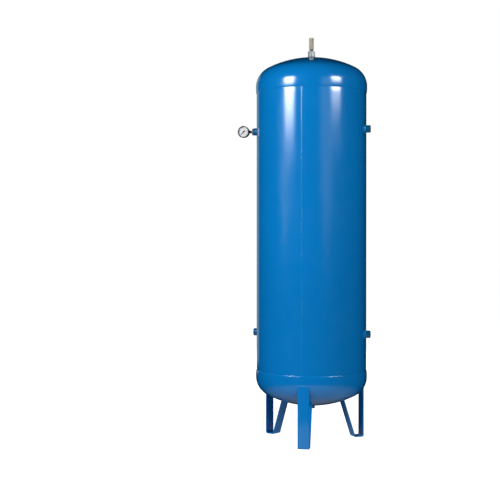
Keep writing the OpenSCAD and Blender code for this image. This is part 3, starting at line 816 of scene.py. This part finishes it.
        add_bead("shell_weld_bead", tidied(moved(bm, lay)), "shell_weld", 60)

    def build(self) -> None:
        """Makes every piece of the vessel."""
        self.make_shell()
        self.make_head("top_head", self.high_seam, 1)
        self.make_head("bottom_head", self.low_seam, -1)
        self.make_ring_weld("top_ring_weld", self.high_seam, 1)
        self.make_ring_weld("bottom_ring_weld", self.low_seam, -1)
        self.make_long_weld()


@dataclass
class Sockets:
    """The six threaded half couplings and their fillet welds."""

    vessel: Vessel
    bore: float = 12.05 * MM
    groove: float = 1.15 * MM
    pitch: float = THREAD_PITCH
    mouth: float = 1.5 * MM
    length: float = 34 * MM
    leg: float = 6.5 * MM
    steps: int = 96
    ripples: int = 26

    def body(self) -> BMesh:
        """A socket with its mouth at z = 0 and its body below, its thread cut as rings."""
        r, edge = self.vessel.socket_r, 0.8 * MM
        turns = int((self.length - 2 * self.mouth) / self.pitch)
        outside = [(r - edge, -self.length), (r, -self.length + edge), (r, -edge), (r - edge, 0.0)]
        mouth = [(self.bore + self.mouth, 0.0)]
        thread: Profile = []
        for i in range(turns):
            top = -self.mouth - i * self.pitch
            thread += [(self.bore, top), (self.bore, top - 0.25 * self.pitch),
                       (self.bore + self.groove, top - 0.6 * self.pitch)]
        bottom = [(self.bore, -self.mouth - turns * self.pitch), (self.bore, -self.length)]
        bm = revolve(outside + mouth + thread + bottom, self.steps)
        # The bore's faces take the second material, the near-black thread, darkened in part as
        # painted shade in the bore.
        inner = self.bore + self.groove + 0.2 * MM
        for face in bm.faces:
            centre = face.calc_center_median()
            face.material_index = int(bearing(centre)[0] < inner)
        return bm

    def add_body(self, node: str, matrix: Matrix) -> None:
        """Adds one socket in place of its CAD node, in enamel darkened as painted shade, with a
        near-black bore thread that is partly painted shade.
        """
        Piece(node + "_body", placed(self.body(), matrix), Slot.BLUE, (node,), smooth=28,
              first=PAINTS.get(SOCKET_ENAMEL_PAINTED_SHADE), extra=(PAINTS.get(BORE_THREAD_AND_SHADE),)).add()

    def fillet(self, ripples: int, wall: Callable[[float, float], float]) -> BMesh:
        """A rippled fillet ring round a socket along +Z.

        Args:
            ripples: Crescents in a turn.
            wall: Height of the wall at a place across the socket's axis.

        Returns:
            The closed ring, standing on the wall.
        """
        r, root, under = self.vessel.socket_r, self.vessel.socket_r - 0.3 * MM, -2 * MM
        hollow = ((1, 0), (0.72, 0.22), (0.42, 0.46), (0.18, 0.72), (0, 0.92))
        face = [(r + out * self.leg, up * self.leg) for out, up in hollow]
        profile = face + [(root, face[-1][1]), (root, under), (r + self.leg, under)]
        bm = revolve(profile, ripples * 4)

        def settle(co: Vector) -> Vector:
            """Ripples the face and sets the ring on the wall."""
            radius, around = bearing(co)
            lift = 0.0
            if co.z > -MM and radius > r:
                across = 2 * (radius - r) / self.leg - 1
                lift = 0.45 * MM * (ripple(around / FULL_TURN * ripples, across) - 0.6)
            return Vector((co.x, co.y, co.z + lift + wall(co.x, co.y)))

        return tidied(moved(bm, settle))

    def build(self) -> None:
        """Makes the sockets and all six welds, which are one piece."""
        v = self.vessel
        welds = []
        for node, port in v.ports.items():
            face_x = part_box(node)[1].x if port.side > 0 else -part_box(node)[0].x
            self.add_body(node, port.matrix() @ shift_to(0, 0, face_x))

            def shell_wall(x: float, y: float, port: Port = port) -> float:
                """Height of the drawn shell across a side port's axis."""
                dip = v.skin(port.around + math.asin(y / v.shell_r), port.z - x * port.side)
                return math.sqrt(dip * dip - y * y)

            welds.append(placed(self.fillet(self.ripples, shell_wall), port.matrix()))
        over = turn(180, "X")
        self.add_body("top_socket", shift_to(0, 0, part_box("top_socket")[1].z))
        self.add_body("drain_socket", shift_to(0, 0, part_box("drain_socket")[0].z) @ over)

        def crown(x: float, y: float) -> float:
            """Height of a head's drawn crown above its open edge."""
            flat = max(0.0, 1 - math.hypot(x, y) / (3 * v.socket_r))
            rise = math.sqrt(v.crown_r ** 2 - x * x - y * y) - v.crown_r
            return v.head_h + rise - CROWN_DIP * flat * flat

        welds.append(placed(self.fillet(self.ripples, crown), shift_to(0, 0, v.high_seam)))
        welds.append(placed(self.fillet(self.ripples, crown), shift_to(0, 0, v.low_seam) @ over))
        add_bead("socket_weld_beads", joined(welds), "socket_welds")


@dataclass
class Legs:
    """Three legs, each one flat strip bent at its foot, and the beads that hold them."""

    vessel: Vessel
    width: float = 50 * MM
    thick: float = 5 * MM
    bend: float = 4 * MM
    foot: float = 48 * MM
    out: float = 2 * MM
    lean: float = 18
    front_az: float = -87
    bead_r: float = 3.4 * MM
    bead_pitch: float = 2.6 * MM
    slope_len: float = 260 * MM

    def __post_init__(self) -> None:
        """Works out the strip's outer face and its inner bend."""
        self.outer_x = self.vessel.shell_r + self.out
        self.bend_out = self.bend + self.thick
        self.inner_bend_x = self.outer_x - self.foot + self.bend_out

    def top_z(self) -> float:
        """Height at which the strip's outer face meets the lower head."""
        v = self.vessel
        reach = self.outer_x - v.head_r + v.knuckle_r
        return v.low_seam - v.skirt - math.sqrt(v.knuckle_r ** 2 - reach ** 2)

    def slope(self) -> Vector:
        """Direction of the leaning strip, in the plane of radius and height."""
        return Vector((-math.sin(math.radians(self.lean)), math.cos(math.radians(self.lean))))

    def slope_start(self, radius: float) -> Vector:
        """Where a face of the leaning strip leaves its bend."""
        a = math.radians(self.lean - 180)
        out = Vector((math.cos(a), math.sin(a))) * radius
        return Vector((self.inner_bend_x, self.bend_out)) + out

    def side(self, radius: float) -> Profile:
        """One face of the strip, from the top of the upright to the top of the slope."""
        end = self.slope_start(radius) + self.slope() * self.slope_len
        return ([(self.outer_x - self.bend_out + radius, self.top_z())]
                + arc((self.outer_x - self.bend_out, self.bend_out), radius, 0, -90, 10)
                + arc((self.inner_bend_x, self.bend_out), radius, -90, self.lean - 180, 10)
                + [(end.x, end.y)])

    def crown_meet(self, radius: float) -> Vector:
        """Where a face of the leaning strip meets the lower head's crown."""
        v, start, way = self.vessel, self.slope_start(radius), self.slope()
        off = start - Vector((0, v.low_seam - v.head_h + v.crown_r))
        b, c = off.dot(way), off.dot(off) - v.crown_r ** 2
        return start + way * (-b - math.sqrt(b * b - c))

    def head_fill(self) -> BMesh:
        """The space that the lower head fills, which the strip's ends are cut to."""
        v = self.vessel
        profile = [(0.0, v.head_h)] + v.head_side(-v.root_gap, 1e-5)[1:] + [(0.0, 0.0)]
        bm = revolve(profile, v.steps, closed=False)
        return tidied(placed(bm, on_seam(v.low_seam, -1)))

    def make_leg(self, node: str, az: float) -> None:
        """One bent strip with rounded edges, coped to the head."""
        bm = extrude_outline(self.side(self.bend_out) + self.side(self.bend)[::-1], self.width)
        bm = soften(bm, 0.8 * MM, 3, 60)
        upright = turn(az, "Z") @ turn(90, "X") @ shift_to(0, 0, -self.width / 2)
        obj = Piece(node + "_strip", placed(bm, upright), Slot.BLUE, (node,), smooth=30).add()
        cut(obj, [self.head_fill()], 30)

    def bead(self, at: Vector, az: float) -> BMesh:
        """A rippled bead across the strip.

        Args:
            at: Its centre line's radius and height.
            az: The leg's direction, in degrees.

        Returns:
            The closed bead.
        """
        length = self.width - 3 * MM
        bm = extrude_outline(arc((0, 0), self.bead_r, 0, 350, 17), length, 72)

        def swell(co: Vector) -> Vector:
            """Ripples the bead and rounds off its ends."""
            end = min(co.z, length - co.z) / self.bead_r
            scale = math.sqrt(max(0.05, 1 - max(0.0, 1 - end) ** 2))
            scale *= 0.88 + 0.12 * ripple(co.z / self.bead_pitch, co.y / self.bead_r)
            return drawn(co, scale)

        way = turn(az, "Z") @ shift_to(at.x, 0, at.y) @ turn(90, "X") @ shift_to(0, 0, -length / 2)
        return placed(moved(bm, swell), way)

    def build(self) -> None:
        """Makes the three legs and their nine beads, which are one piece."""
        beads = []
        sink = Vector((-1.4 * MM, 0.6 * MM))
        places = (Vector((self.outer_x, self.top_z())) + sink,
                  self.crown_meet(self.bend_out) + sink,
                  self.crown_meet(self.bend) - sink.reflect(Vector((0, 1))))
        for node, extra in (("front_leg", 0), ("right_leg", 120), ("left_leg", 240)):
            az = self.front_az + extra
            self.make_leg(node, az)
            beads += [self.bead(place, az) for place in places]
        add_bead("leg_weld_beads", joined(beads), "leg_welds")


# ------------------------------------------------------------------ gauge


@dataclass
class Gauge:
    """The dial gauge and its reducing bushing."""

    scale_start: float = 225
    scale_sweep: float = 270
    marks: int = 16
    mark_out: float = 18.6 * MM
    numeral_r: float = 13.2 * MM
    numeral_h: float = 4.2 * MM
    ink: float = 0.05 * MM
    pointer_len: float = 17.5 * MM
    tail_len: float = 9 * MM

    def __post_init__(self) -> None:
        """Reads the gauge's centre and its levels from the frame."""
        dial = middle("gauge_dial")
        self.x, self.z = dial.x, dial.z
        self.dial_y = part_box("gauge_dial")[0].y
        self.facing = shift_to(self.x, 0, self.z) @ turn(90, "X")

    @staticmethod
    def levels(node: str) -> tuple[float, float, float]:
        """Back and front of a turned node, as heights in front of the stem, and its radius."""
        low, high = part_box(node)
        return -high.y, -low.y, (high.x - low.x) / 2

    def level(self, y: float) -> Matrix:
        """Places a flat shape in front of the stem, its back at height y."""
        return self.facing @ shift_to(0, 0, -y)

    def ring(self, node: str, profile: Profile, round_off: float, slot: Slot, steps: int) -> None:
        """Adds a turned piece in place of a CAD node; heights run forwards from the stem."""
        bm = soften(revolve(profile, steps), round_off, 3)
        Piece(node + "_turned", placed(bm, self.facing), slot, (node,)).add()

    def make_case(self) -> None:
        """The pressed case, with a rounded back, and its square boss."""
        low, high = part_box("gauge_case")
        back, front, boss_end = -high.y, -low.y, high.x
        r, t, back_r = (high.z - low.z) / 2, 1.2 * MM, 3 * MM
        outer = [(r, front)] + arc((r - back_r, back + back_r), back_r, 0, -90, 8)
        inner = arc((r - back_r, back + back_r), back_r - t, -90, 0, 8) + [(r - t, front)]
        profile = outer + [(0.0, back), (0.0, back + t)] + inner
        case = placed(revolve(profile, 128), self.facing)
        boss_w, boss_x = 12 * MM, self.x + r - 1.5 * MM
        boss = bmesh.new()
        bmesh.ops.create_cube(boss, size=1.0, matrix=shift_to((boss_x + boss_end) / 2, 0, self.z)
                              @ Matrix.Diagonal((boss_end - boss_x, boss_w, boss_w, 1)))
        soften(boss, 0.9 * MM, 3)
        Piece("gauge_case_pressing", joined([case, boss]), Slot.BLACK, ("gauge_case",)).add()

    def make_bezel(self) -> None:
        """The rolled bezel ring."""
        back, front, r = self.levels("gauge_bezel")
        window_front = self.levels("gauge_window")[1]
        bore, lip = 25.05 * MM, 22.4 * MM
        roll = (r - bore) * 0.9
        face = arc((r - roll, front - roll), roll, 0, 90, 8)
        profile = ([(bore, back), (r - 0.4 * MM, back), (r, back + 0.4 * MM)] + face
                   + [(lip + 0.7 * MM, front), (lip, front - 0.6 * MM), (lip, window_front),
                      (bore, window_front)])
        self.ring("gauge_bezel", profile, 0.12 * MM, Slot.BLACK, 160)

    def make_window(self) -> None:
        """The clear window, very slightly domed."""
        back, front, r = self.levels("gauge_window")
        dome = [(r * i / 8, front - 0.25 * MM * (i / 8) ** 2) for i in range(9)]
        bm = revolve([(0.0, back)] + [(r - 0.1 * MM, back)] + dome[::-1], 96, closed=False)
        Piece("gauge_window_pane", placed(bm, self.facing), Slot.WINDOW, ("gauge_window",)).add()

    def make_dial(self) -> None:
        """The dial plate and the white ring that holds it."""
        back, front, r = self.levels("gauge_dial")
        hole, inner = 1.5 * MM, r - 1.4 * MM
        dial = [(hole, back), (r, back), (r, front), (hole, front)]
        back, front, _ = self.levels("gauge_spacer")
        spacer = [(inner, back), (r, back), (r, front), (r - 0.9 * MM, front),
                  (inner, front - 0.5 * MM)]
        self.ring("gauge_dial", dial, 0.1 * MM, Slot.WHITE, 96)
        self.ring("gauge_spacer", spacer, 0.1 * MM, Slot.WHITE, 96)

    def bar(self, inner: float, outer: float, width: float, degrees: float) -> BMesh:
        """A printed mark between two radii."""
        bm = bmesh.new()
        at = turn(degrees, "Z") @ shift_to((inner + outer) / 2, 0, self.ink / 2)
        size = Matrix.Diagonal((outer - inner, width, self.ink, 1))
        bmesh.ops.create_cube(bm, size=1.0, matrix=at @ size)
        return bm

    def make_scale(self) -> None:
        """The printed scale: a line, its marks and its plain numbers."""
        parts = []
        halves, r, half = self.marks * 2, self.mark_out, 0.2 * MM
        for i in range(halves + 1):
            az = self.scale_start - self.scale_sweep * i / halves
            depth, width = (3.4, 0.75) if i % 8 == 0 else (2.4, 0.45) if i % 2 == 0 else (1.5, 0.3)
            parts.append(self.bar(r - depth * MM, r, width * MM, az))
        line = bmesh.new()
        section = ((r - half, 0), (r + half, 0), (r + half, self.ink), (r - half, self.ink))
        loop = [line.verts.new((x, 0, z)) for x, z in section]
        edges = [line.edges.new((a, b)) for a, b in zip(loop, loop[1:] + loop[:1])]
        bmesh.ops.rotate(line, verts=loop, matrix=turn(self.scale_start, "Z").to_3x3())
        bmesh.ops.spin(line, geom=loop + edges, axis=(0, 0, 1), steps=90,
                       angle=-math.radians(self.scale_sweep))
        bmesh.ops.holes_fill(line, edges=open_edges(line), sides=0)
        parts.append(tidied(line))
        parts.append(self.numerals())
        bm = placed(joined(parts), self.level(self.dial_y))
        Piece("gauge_scale_print", bm, Slot.POINTER).add()

    def numerals(self) -> BMesh:
        """The numbers 0, 4, 8, 12 and 16, upright on the dial."""
        bm = bmesh.new()
        for i in range(0, self.marks + 1, 4):
            az = math.radians(self.scale_start - self.scale_sweep * i / self.marks)
            place = polar(self.numeral_r, az, self.ink / 2)
            curve = bpy.data.curves.new("numeral", "FONT")
            curve.body = str(i)
            curve.size = self.numeral_h
            curve.extrude = self.ink / 2
            curve.offset = 0.12 * MM
            curve.align_x, curve.align_y = "CENTER", "CENTER"
            text = bpy.data.objects.new("numeral", curve)
            bpy.context.scene.collection.objects.link(text)
            mesh = evaluated(text)
            mesh.transform(Matrix.Translation(place))
            bm.from_mesh(mesh)
            bpy.data.objects.remove(text)
            bpy.data.meshes.remove(mesh)
            bpy.data.curves.remove(curve)
        return tidied(bm)

    def make_pointer(self) -> None:
        """The pointer, with a bevelled blade, a broad tail and a domed hub."""
        half = [(-self.tail_len, 3.1 * MM), (-2 * MM, 2.2 * MM), (0, 2.6 * MM),
                (self.pointer_len, 1.1 * MM)]
        blade = [(x, -y) for x, y in half] + half[::-1]
        bm = soften(extrude_outline(blade, 0.6 * MM), 0.12 * MM, 2, 25)
        dome = arc((0, -2.0 * MM), 3.4 * MM, 40, 90, 8)
        hub = revolve([(0.0, 0.0), (dome[0][0], 0.0)] + dome, 48, closed=False)
        both = joined([placed(bm, turn(self.scale_start, "Z")), hub])
        place = self.level(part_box("gauge_pointer")[1].y)
        Piece("gauge_pointer_blade", placed(both, place), Slot.POINTER, ("gauge_pointer",),
              "pointer").add()

    def make_bushing(self) -> None:
        """The hexagonal reducing bushing with its threaded shank."""
        low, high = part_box("gauge_bushing")
        flats, head, bore = 30 * MM, 7 * MM, 5.75 * MM
        along = shift_to(low.x, 0, self.z) @ turn(90, "Y")
        nut = placed(hex_nut(flats, head, bore), turn(30, "Z"))
        r, pitch = THREAD_R, THREAD_PITCH
        profile: Profile = [(bore, head - 0.2 * MM), (r - MM, head - 0.2 * MM)]
        z = head
        while z + pitch < high.x - low.x:
            profile += [(r, z + 0.4 * pitch), (r - MM, z + pitch)]
            z += pitch
        profile += [(bore, z)]
        bm = placed(joined([nut, revolve(profile, THREAD_STEPS)]), along)
        Piece("gauge_bushing_hex", bm, Slot.ZINC, ("gauge_bushing",), smooth=28).add()

    def build(self) -> None:
        """Makes every visible piece of the gauge."""
        self.make_case()
        self.make_bezel()
        self.make_window()
        self.make_dial()
        self.make_scale()
        self.make_pointer()
        self.make_bushing()


# ------------------------------------------------------------------ safety valve


@dataclass
class SafetyValve:
    """The safety valve's hexagonal body, bonnet and knurled vent knob."""

    flats: float = 32 * MM
    corner_az: float = -19
    neck_r: float = 8.6 * MM
    vent_r: float = 1.75 * MM
    vents: int = 4
    knurls: int = 44
    knurl_depth: float = 0.5 * MM
    band: float = 4.5 * MM
    wire_r: float = 0.9 * MM
    coils: int = 9
    coil_steps: int = 24

    def make_body(self) -> None:
        """The nickel-plated hexagon and the thread below it."""
        low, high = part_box("valve_body")
        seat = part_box("valve_gasket")[1].z
        nut = hex_nut(self.flats, high.z - seat, 9 * MM)
        nut = placed(nut, shift_to(0, 0, seat), turn(self.corner_az, "Z"))
        r, pitch, bore = THREAD_R, THREAD_PITCH, 5 * MM
        profile: Profile = [(bore, low.z)]
        z = low.z
        while z + pitch < seat:
            profile += [(r - MM, z), (r, z + 0.6 * pitch)]
            z += pitch
        profile += [(r - MM, seat + 0.2 * MM), (9.2 * MM, seat + 6 * MM), (bore, seat + 6 * MM)]
        bm = joined([nut, revolve(profile, THREAD_STEPS)])
        Piece("valve_body_hex", bm, Slot.NICKEL, ("valve_body",), smooth=28).add()

    def make_bonnet(self) -> None:
        """The bonnet with its vent holes; its sleeve goes up inside the knob."""
        low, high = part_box("valve_bonnet")
        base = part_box("valve_body")[1].z
        gap = 0.3 * MM
        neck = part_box("valve_knob")[0].z - gap
        sleeve, bore, foot = 8 * MM, 6.4 * MM, 8.9 * MM
        profile = [(foot, low.z), (foot, base), (self.neck_r, base), (self.neck_r, neck),
                   (sleeve, neck), (sleeve, high.z), (bore, high.z), (bore, low.z)]
        bm = soften(revolve(profile, 96), 0.25 * MM, 2)
        obj = Piece("valve_bonnet_turned", bm, Slot.NICKEL, ("valve_bonnet",)).add()
        height = shift_to(0, 0, (base + neck + gap) / 2)
        turns = [turn(self.corner_az + 15 + 360 / self.vents * i, "Z") for i in range(self.vents)]
        cut(obj, [placed(rod(self.vent_r, 2 * self.neck_r, 24), height, way, turn(90, "X"))
                  for way in turns])

    def make_spring(self) -> None:
        """The seat spring, wound with closed ends."""
        low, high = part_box("valve_spring")
        radius = (high.x - low.x) / 2 - self.wire_r
        length = high.z - low.z
        rise = length - 2 * self.wire_r
        pitch = rise / self.coils
        closed = 2.05 * self.wire_r
        open_pitch = (rise - 2 * closed) / (self.coils - 2)
        steps = self.coils * self.coil_steps
        bm = bmesh.new()
        bmesh.ops.create_circle(bm, segments=12, radius=self.wire_r,
                                matrix=shift_to(radius, 0, 0) @ turn(90, "X"))
        bmesh.ops.spin(bm, geom=bm.verts[:] + bm.edges[:], axis=(0, 0, 1), steps=steps,
                       angle=FULL_TURN * self.coils, dvec=(0, 0, rise / steps))
        bmesh.ops.holes_fill(bm, edges=open_edges(bm), sides=0)

        def close_ends(co: Vector) -> Vector:
            """Brings the first and the last coil together and opens the others."""
            around = bearing(co)[1] / FULL_TURN
            coil = round(co.z / pitch - around) + around
            inner = min(max(coil - 1, 0.0), self.coils - 2) * open_pitch
            ends = (min(coil, 1.0) + max(coil - self.coils + 1, 0.0)) * closed
            return Vector((co.x, co.y, co.z - coil * pitch + inner + ends))

        bm = placed(moved(tidied(bm), close_ends), shift_to(0, 0, low.z + self.wire_r))
        obj = Piece("valve_spring_coil", bm, Slot.SPRING, ("valve_spring",), smooth=60).add()
        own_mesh(obj)

    def make_knob(self) -> None:
        """The hollow vent knob, with a diamond knurl between plain bands."""
        low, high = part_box("valve_knob")
        r, length = (high.x - low.x) / 2, high.z - low.z
        bore, recess_r, hole = 8.4 * MM, 6 * MM, 2.06 * MM
        plate_top, plate_under = length - 4 * MM, length - 8 * MM
        start, end, rows = self.band, length - self.band, 132
        grip = [(r, start + (end - start) * i / rows) for i in range(rows + 1)]
        profile = ([(bore, 0.0), (r - 0.8 * MM, 0.0), (r, 0.8 * MM)] + grip
                   + [(r, length - 1.2 * MM), (r - 1.2 * MM, length), (recess_r, length),
                      (recess_r, plate_top), (hole, plate_top), (hole, plate_under),
                      (bore, plate_under)])
        bm = revolve(profile, self.knurls * 6)
        lean = self.knurls / r

        def knurl(co: Vector) -> Vector:
            """Presses two sets of crossing grooves into the grip."""
            radius, around = bearing(co)
            if radius < r - 0.01 * MM or not start < co.z < end:
                return co
            around *= self.knurls / FULL_TURN
            rise = co.z * lean / FULL_TURN
            a = abs(((around + rise) % 1) * 2 - 1)
            b = abs(((around - rise) % 1) * 2 - 1)
            fade = min(1.0, (co.z - start) / MM, (end - co.z) / MM)
            return drawn(co, 1 - self.knurl_depth * (1 - min(a, b) ** 0.8) * fade / radius)

        bm = placed(moved(bm, knurl), shift_to(0, 0, low.z))
        Piece("valve_knob_knurled", tidied(bm), Slot.PALE_BRASS, ("valve_knob",), "knob",
              smooth=40).add()

    def build(self) -> None:
        """Makes every visible piece of the valve."""
        self.make_body()
        self.make_bonnet()
        self.make_spring()
        self.make_knob()


# ------------------------------------------------------------------ studio


@dataclass(frozen=True)
class Panel:
    """A glowing upright panel that faces the vessel, with soft edges, seen in reflections."""

    name: str
    az: float
    far: float
    low: float
    high: float
    width: float
    glow: float
    side_fade: float = 0.35
    low_fade: float = 0.8
    high_fade: float = 0.2
    tint: Colour = (1.0, 1.0, 1.0)

    def add(self) -> None:
        """Builds the panel, upright, at its place round the vessel."""
        height = self.high - self.low
        material = bpy.data.materials.new(self.name)
        material.use_nodes = True
        tree = material.node_tree
        tree.nodes.clear()
        split = tree.nodes.new("ShaderNodeSeparateXYZ")
        coords = tree.nodes.new("ShaderNodeTexCoord").outputs["Object"]
        tree.links.new(coords, split.inputs["Vector"])

        def edge(value: NodeSocket, dark: float, light: float) -> NodeSocket:
            """Smooth step from 0 at dark to 1 at light."""
            node = tree.nodes.new("ShaderNodeMapRange")
            node.interpolation_type = "SMOOTHSTEP"
            node.inputs["From Min"].default_value = dark
            node.inputs["From Max"].default_value = light
            tree.links.new(value, node.inputs["Value"])
            return node.outputs["Result"]

        def product(a: NodeSocket, b: NodeSocket | float) -> NodeSocket:
            """Product of a value and another value or a number."""
            node = tree.nodes.new("ShaderNodeMath")
            node.operation = "MULTIPLY"
            tree.links.new(a, node.inputs[0])
            if isinstance(b, float):
                node.inputs[1].default_value = b
            else:
                tree.links.new(b, node.inputs[1])
            return node.outputs[0]

        x, y, half = split.outputs["X"], split.outputs["Y"], self.width / 2
        sides = product(edge(x, -half, -half + self.side_fade),
                        edge(x, half, half - self.side_fade))
        rise = edge(y, 0, self.low_fade)
        ends = product(product(rise, rise), edge(y, height, height - self.high_fade))
        level = product(product(sides, ends), self.glow)
        light = tree.nodes.new("ShaderNodeEmission")
        light.inputs["Color"].default_value = (*self.tint, 1.0)
        tree.links.new(level, light.inputs["Strength"])
        out = tree.nodes.new("ShaderNodeOutputMaterial")
        tree.links.new(light.outputs["Emission"], out.inputs["Surface"])
        bm = bmesh.new()
        size = shift_to(0, height / 2, 0) @ Matrix.Diagonal((self.width, height, 1, 1))
        bmesh.ops.create_grid(bm, x_segments=1, y_segments=1, size=0.5, matrix=size)
        place = turn(self.az, "Z") @ shift_to(0, -self.far, self.low) @ turn(90, "X")
        Studio.stage(self.name, bm, material, place, glossy=True)


@dataclass
class Studio:
    """Camera, floor, background and soft lights."""

    camera_az: float = 11.0
    distance: float = 4.714
    height: float = 0.892
    pitch: float = -0.45
    yaw: float = 3.37
    lens: float = 75.0
    fill: float = 0.2

    @staticmethod
    def stage(name: str, bm: BMesh, material: Material, place: Matrix,
              camera: bool = False, diffuse: bool = False, glossy: bool = False) -> None:
        """Adds a mesh that belongs to the studio.

        Args:
            name: Its name.
            bm: Its mesh.
            material: Its material.
            place: Where it stands.
            camera: Whether the camera sees it.
            diffuse: Whether it lights matt surfaces.
            glossy: Whether it shows in reflections.
        """
        mesh = bpy.data.meshes.new(name)
        bm.to_mesh(mesh)
        bm.free()
        mesh.materials.append(material)
        obj = bpy.data.objects.new(name, mesh)
        bpy.context.scene.collection.objects.link(obj)
        obj.matrix_world = place
        obj.visible_camera = camera
        obj.visible_diffuse, obj.visible_glossy = diffuse, glossy
        obj.visible_shadow = False

    def add_camera(self) -> None:
        """The camera at standing height, turned a little to the left of the vessel."""
        data = bpy.data.cameras.new("camera")
        data.lens = self.lens
        data.sensor_width = 36.0
        data.clip_end = 100.0
        camera = bpy.data.objects.new("camera", data)
        bpy.context.scene.collection.objects.link(camera)
        camera.matrix_world = (turn(self.camera_az, "Z") @ shift_to(0, -self.distance, self.height)
                               @ turn(self.yaw, "Z") @ turn(90 + self.pitch, "X"))
        bpy.context.scene.camera = camera

    def add_floor(self) -> None:
        """A white floor for the eye, a disc that lights matt surfaces and one for reflections."""
        eye = Recipe("floor_white")
        eye.set(base_color=(0.8, 0.8, 0.8, 1.0), roughness=1.0, specular_ior_level=0.0,
                emission_color=(1, 1, 1, 1), emission_strength=0.85)
        bm = bmesh.new()
        bmesh.ops.create_grid(bm, x_segments=1, y_segments=1, size=40)
        self.stage("floor_eye", bm, eye.material, Matrix.Identity(4), camera=True)
        self.add_glow("floor_bounce", 0.5, 1.0, 0.3, diffuse=True)
        self.add_glow("floor_sheen", 0.19, 0.95, 0.5, glossy=True)

    def add_glow(self, name: str, level: float, radius: float, forward: float,
                 diffuse: bool = False, glossy: bool = False) -> None:
        """A disc on the floor that glows and fades towards its rim.

        Args:
            name: Its name.
            level: Its brightness at the middle.
            radius: Its radius.
            forward: How far it lies in front of the vessel's axis.
            diffuse: Whether it lights matt surfaces.
            glossy: Whether it shows in reflections.
        """
        glow = Recipe(name)
        glow.set(base_color=(0, 0, 0, 1), roughness=1.0, specular_ior_level=0.0,
                 emission_color=(1, 1, 1, 1))
        far = glow.tree.nodes.new("ShaderNodeVectorMath")
        far.operation = "LENGTH"
        glow.tree.links.new(glow.coords, far.inputs[0])
        ring = glow.tree.nodes.new("ShaderNodeValToRGB")
        ring.color_ramp.interpolation = "EASE"
        for stop, place, light in zip(ring.color_ramp.elements, (0.35, 1.0), (level, 0.0)):
            stop.position, stop.color = place, (light, light, light, 1.0)
        share = glow.spread(far.outputs["Value"], 0, 1, (0, radius))
        glow.tree.links.new(share, ring.inputs["Fac"])
        glow.link(ring.outputs["Color"], "Emission Strength")
        bm = bmesh.new()
        bmesh.ops.create_circle(bm, cap_ends=True, segments=64, radius=radius)
        place = turn(self.camera_az, "Z") @ shift_to(0, -forward, -0.001)
        self.stage(name, bm, glow.material, place, diffuse=diffuse, glossy=glossy)

    def add_world(self) -> None:
        """White to the eye, a gentle grey as a light, and black in reflections."""
        world = bpy.data.worlds.new("studio")
        bpy.context.scene.world = world
        world.use_nodes = True
        world.cycles_visibility.glossy = False
        tree = world.node_tree
        back = tree.nodes["Background"]
        back.inputs["Color"].default_value = (1, 1, 1, 1)
        path = tree.nodes.new("ShaderNodeLightPath")
        mix = tree.nodes.new("ShaderNodeMix")
        mix.inputs["A"].default_value = self.fill
        mix.inputs["B"].default_value = 1.0
        tree.links.new(path.outputs["Is Camera Ray"], mix.inputs["Factor"])
        tree.links.new(mix.outputs["Result"], back.inputs["Strength"])

    @staticmethod
    def add_fill(name: str, az: float, far: float, z: float, size: float, power: float) -> None:
        """A broad lamp that lights matt surfaces and doesn't show in reflections.

        Args:
            name: Its name.
            az: Its direction from the vessel, in degrees.
            far: Its distance from the vessel's axis.
            z: Its height.
            size: Its width.
            power: Its power in watts.
        """
        data = bpy.data.lights.new(name, "AREA")
        data.shape = "DISK"
        data.size = size
        data.energy = power
        lamp = bpy.data.objects.new(name, data)
        bpy.context.scene.collection.objects.link(lamp)
        lamp.matrix_world = turn(az, "Z") @ shift_to(0, -far, z) @ turn(90, "X")
        lamp.visible_camera = lamp.visible_glossy = False

    def build(self) -> None:
        """Sets the studio up."""
        self.add_camera()
        self.add_floor()
        self.add_world()
        az = self.camera_az
        for panel in (
            Panel("panel_left", az - 44.5, far=3.0, low=1.36, high=3.1, width=1.6, glow=13.5,
                  side_fade=0.6, low_fade=0.76, high_fade=0.8),
            Panel("panel_right", az + 50, far=3.0, low=1.58, high=3.1, width=1.5, glow=11.0,
                  side_fade=0.5, low_fade=0.68, high_fade=0.8),
            Panel("panel_rim", az - 152, far=2.5, low=0.0, high=2.6, width=1.6, glow=0.3,
                  side_fade=0.5, low_fade=0.1, high_fade=0.3, tint=(0.7, 1.0, 1.0)),
        ):
            panel.add()
        self.add_fill("fill_left", az - 55, 3.5, 1.75, 1.6, 105)
        self.add_fill("fill_right", az + 30, 3.5, 1.75, 1.6, 75)
        self.add_fill("fill_back", az + 170, 4.0, 1.6, 2.0, 38)
        bpy.context.scene.view_settings.view_transform = "Standard"


def dress_cad_nodes() -> None:
    """Gives every CAD node the finish of its record slot."""
    for sub in frame["record"]["subparts"]:
        node = frame["nodes"][sub["node"]]
        material = PAINTS.of(Slot(sub["material_slot"]))
        node.data.materials.clear()
        node.data.materials.append(material)


def main() -> None:
    """Builds the looks in order: studio, vessel, sockets, legs, gauge and valve."""
    logging.basicConfig(level=logging.INFO, format="%(name)s %(message)s")
    Studio().build()
    dress_cad_nodes()
    vessel = Vessel()
    vessel.build()
    Sockets(vessel).build()
    Legs(vessel).build()
    Gauge().build()
    SafetyValve().build()
    bpy.context.view_layer.update()


if __name__ == "__main__":
    main()
